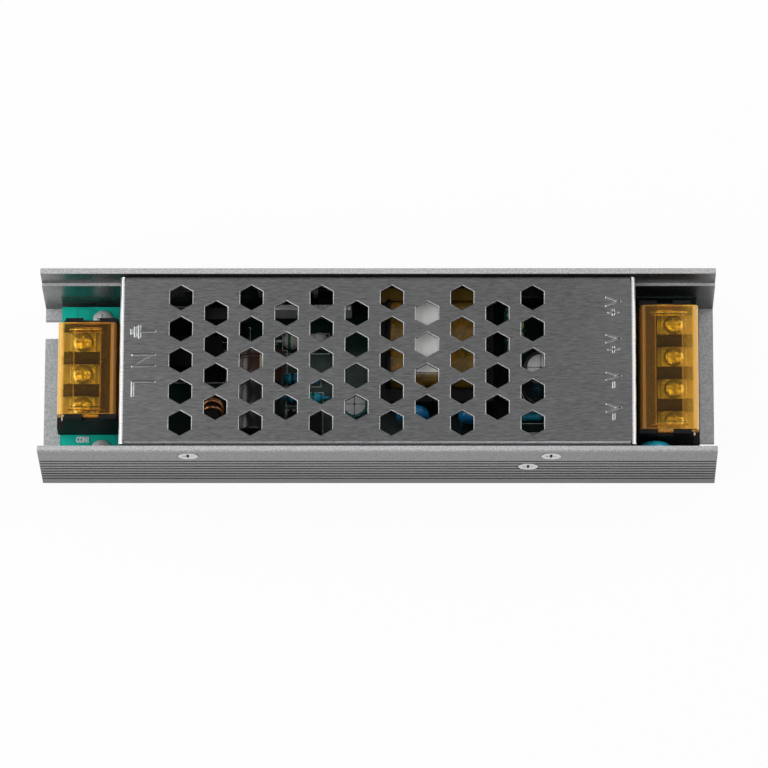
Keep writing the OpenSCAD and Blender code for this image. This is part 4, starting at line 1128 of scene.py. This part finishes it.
class SUPPLY_OT_stage(Operator):
    """Set the floor, the soft lights, the world and the camera"""
    bl_idname = "supply.stage"
    bl_label = "Studio"
    # Place, width, depth and power
    softboxes = {
        "softbox_left": ((-0.58, -0.06, 0.50), 1.05, 0.95, 5.7),
        "softbox_right": ((0.60, 0.20, 0.45), 0.75, 0.85, 2.9),
        "softbox_front": ((0.09, -0.24, 0.80), 0.18, 0.24, 0.32),
    }

    def execute(self, context):
        context.scene.view_settings.view_transform = "Standard"
        self.floor()
        for name, make in self.softboxes.items():
            self.softbox(name, *make)
        self.world(context.scene)
        self.camera(context.scene)
        return {"FINISHED"}

    def floor(self):
        """Pale floor: white to the camera and in mirrors, and it keeps the shadow."""
        half, below, white_share = 3.0, 0.1 * MM, 0.94
        bm = bmesh.new()
        bm.faces.new([bm.verts.new((x, y, -below))
                      for x, y in ((-half, -half), (half, -half), (half, half), (-half, half))])
        mesh = bpy.data.meshes.new("floor")
        bm.to_mesh(mesh)
        bm.free()
        made = bpy.data.materials.new("studio_floor")
        f = Finish(made)
        path = {name: f.node("ShaderNodeLightPath", output=name)
                for name in ("Is Camera Ray", "Is Glossy Ray", "Is Transmission Ray")}
        mirrored = path["Is Glossy Ray"] + path["Is Transmission Ray"]
        seen = (path["Is Camera Ray"] + mirrored).clamp()
        shade = f.mix(seen, colours().floor, (0.95, 0.95, 0.95))
        matt = f.node("ShaderNodeBsdfDiffuse", {}, {"Color": shade})
        white = f.node("ShaderNodeEmission", {}, {"Color": (1.0, 1.0, 1.0, 1.0), "Strength": 1.0})
        f.out(f.node("ShaderNodeMixShader", {}, {0: seen * white_share, 1: matt, 2: white}))
        mesh.materials.append(made)
        link(bpy.data.objects.new("floor", mesh))

    def softbox(self, name, place, width, depth, power):
        light = bpy.data.lights.new(name, "AREA")
        light.shape = "RECTANGLE"
        light.size, light.size_y = width, depth
        light.energy = power
        lamp = link(bpy.data.objects.new(name, light))
        lamp.location = place
        lamp.rotation_euler = (-Vector(place)).to_track_quat("-Z", "Y").to_euler()

    def world(self, scene):
        world = bpy.data.worlds.new("studio")
        scene.world = world
        f = Finish(world)
        grey = (0.19, 0.19, 0.192, 1.0)
        f.out(f.node("ShaderNodeBackground", {}, {"Color": grey, "Strength": 1.0}),
              "ShaderNodeOutputWorld")

    def camera(self, scene):
        """The photograph's view, fitted to the channel's edges."""
        pitch, roll, yaw = radians(-17.56), radians(-0.70), radians(-0.22)
        turn = (Matrix.Rotation(pitch, 3, "X") @ Matrix.Rotation(roll, 3, "Y")
                @ Matrix.Rotation(yaw, 3, "Z"))
        shift = Vector((-1.43, -2.42, -2020.0)) * MM
        focal_px, image_px, sensor_mm = 7108.0, 768.0, 36.0
        data = bpy.data.cameras.new("photo_view")
        data.sensor_width = sensor_mm
        data.lens = focal_px / image_px * sensor_mm
        data.clip_start, data.clip_end = 0.05, 20.0
        camera = link(bpy.data.objects.new("photo_view", data))
        back = turn.transposed()
        camera.matrix_world = Matrix.Translation(-(back @ shift)) @ back.to_4x4()
        scene.camera = camera


class SUPPLY_PT_panel(Panel):
    """Lists the steps, sizes and colours of the supply"""
    bl_idname = "SUPPLY_PT_panel"
    bl_label = "LED supply"
    bl_space_type = "VIEW_3D"
    bl_region_type = "UI"
    bl_category = "LED supply"

    def draw(self, context):
        for step in STEPS:
            self.layout.operator(step.bl_idname, text=step.bl_label)
        for group in (context.scene.supply_sizes, context.scene.supply_colours):
            for name in group.__annotations__:
                self.layout.prop(group, name)


STEPS = (
    SUPPLY_OT_channel, SUPPLY_OT_cover, SUPPLY_OT_fasteners, SUPPLY_OT_board, SUPPLY_OT_terminals,
    SUPPLY_OT_lids, SUPPLY_OT_mains, SUPPLY_OT_devices, SUPPLY_OT_transformer, SUPPLY_OT_control,
    SUPPLY_OT_output, SUPPLY_OT_stage,
)
CLASSES = (SupplySizes, SupplyColours, *STEPS, SUPPLY_PT_panel)


def register():
    for made in CLASSES:
        bpy.utils.register_class(made)
    bpy.types.Scene.supply_sizes = PointerProperty(type=SupplySizes)
    bpy.types.Scene.supply_colours = PointerProperty(type=SupplyColours)


def unregister():
    del bpy.types.Scene.supply_colours
    del bpy.types.Scene.supply_sizes
    for made in reversed(CLASSES):
        bpy.utils.unregister_class(made)


def main():
    register()
    bpy.ops.supply.channel()
    bpy.ops.supply.cover()
    bpy.ops.supply.fasteners()
    bpy.ops.supply.board()
    bpy.ops.supply.terminals()
    bpy.ops.supply.lids()
    bpy.ops.supply.mains()
    bpy.ops.supply.devices()
    bpy.ops.supply.transformer()
    bpy.ops.supply.control()
    bpy.ops.supply.output()
    bpy.ops.supply.stage()


if __name__ == "__main__":
    main()
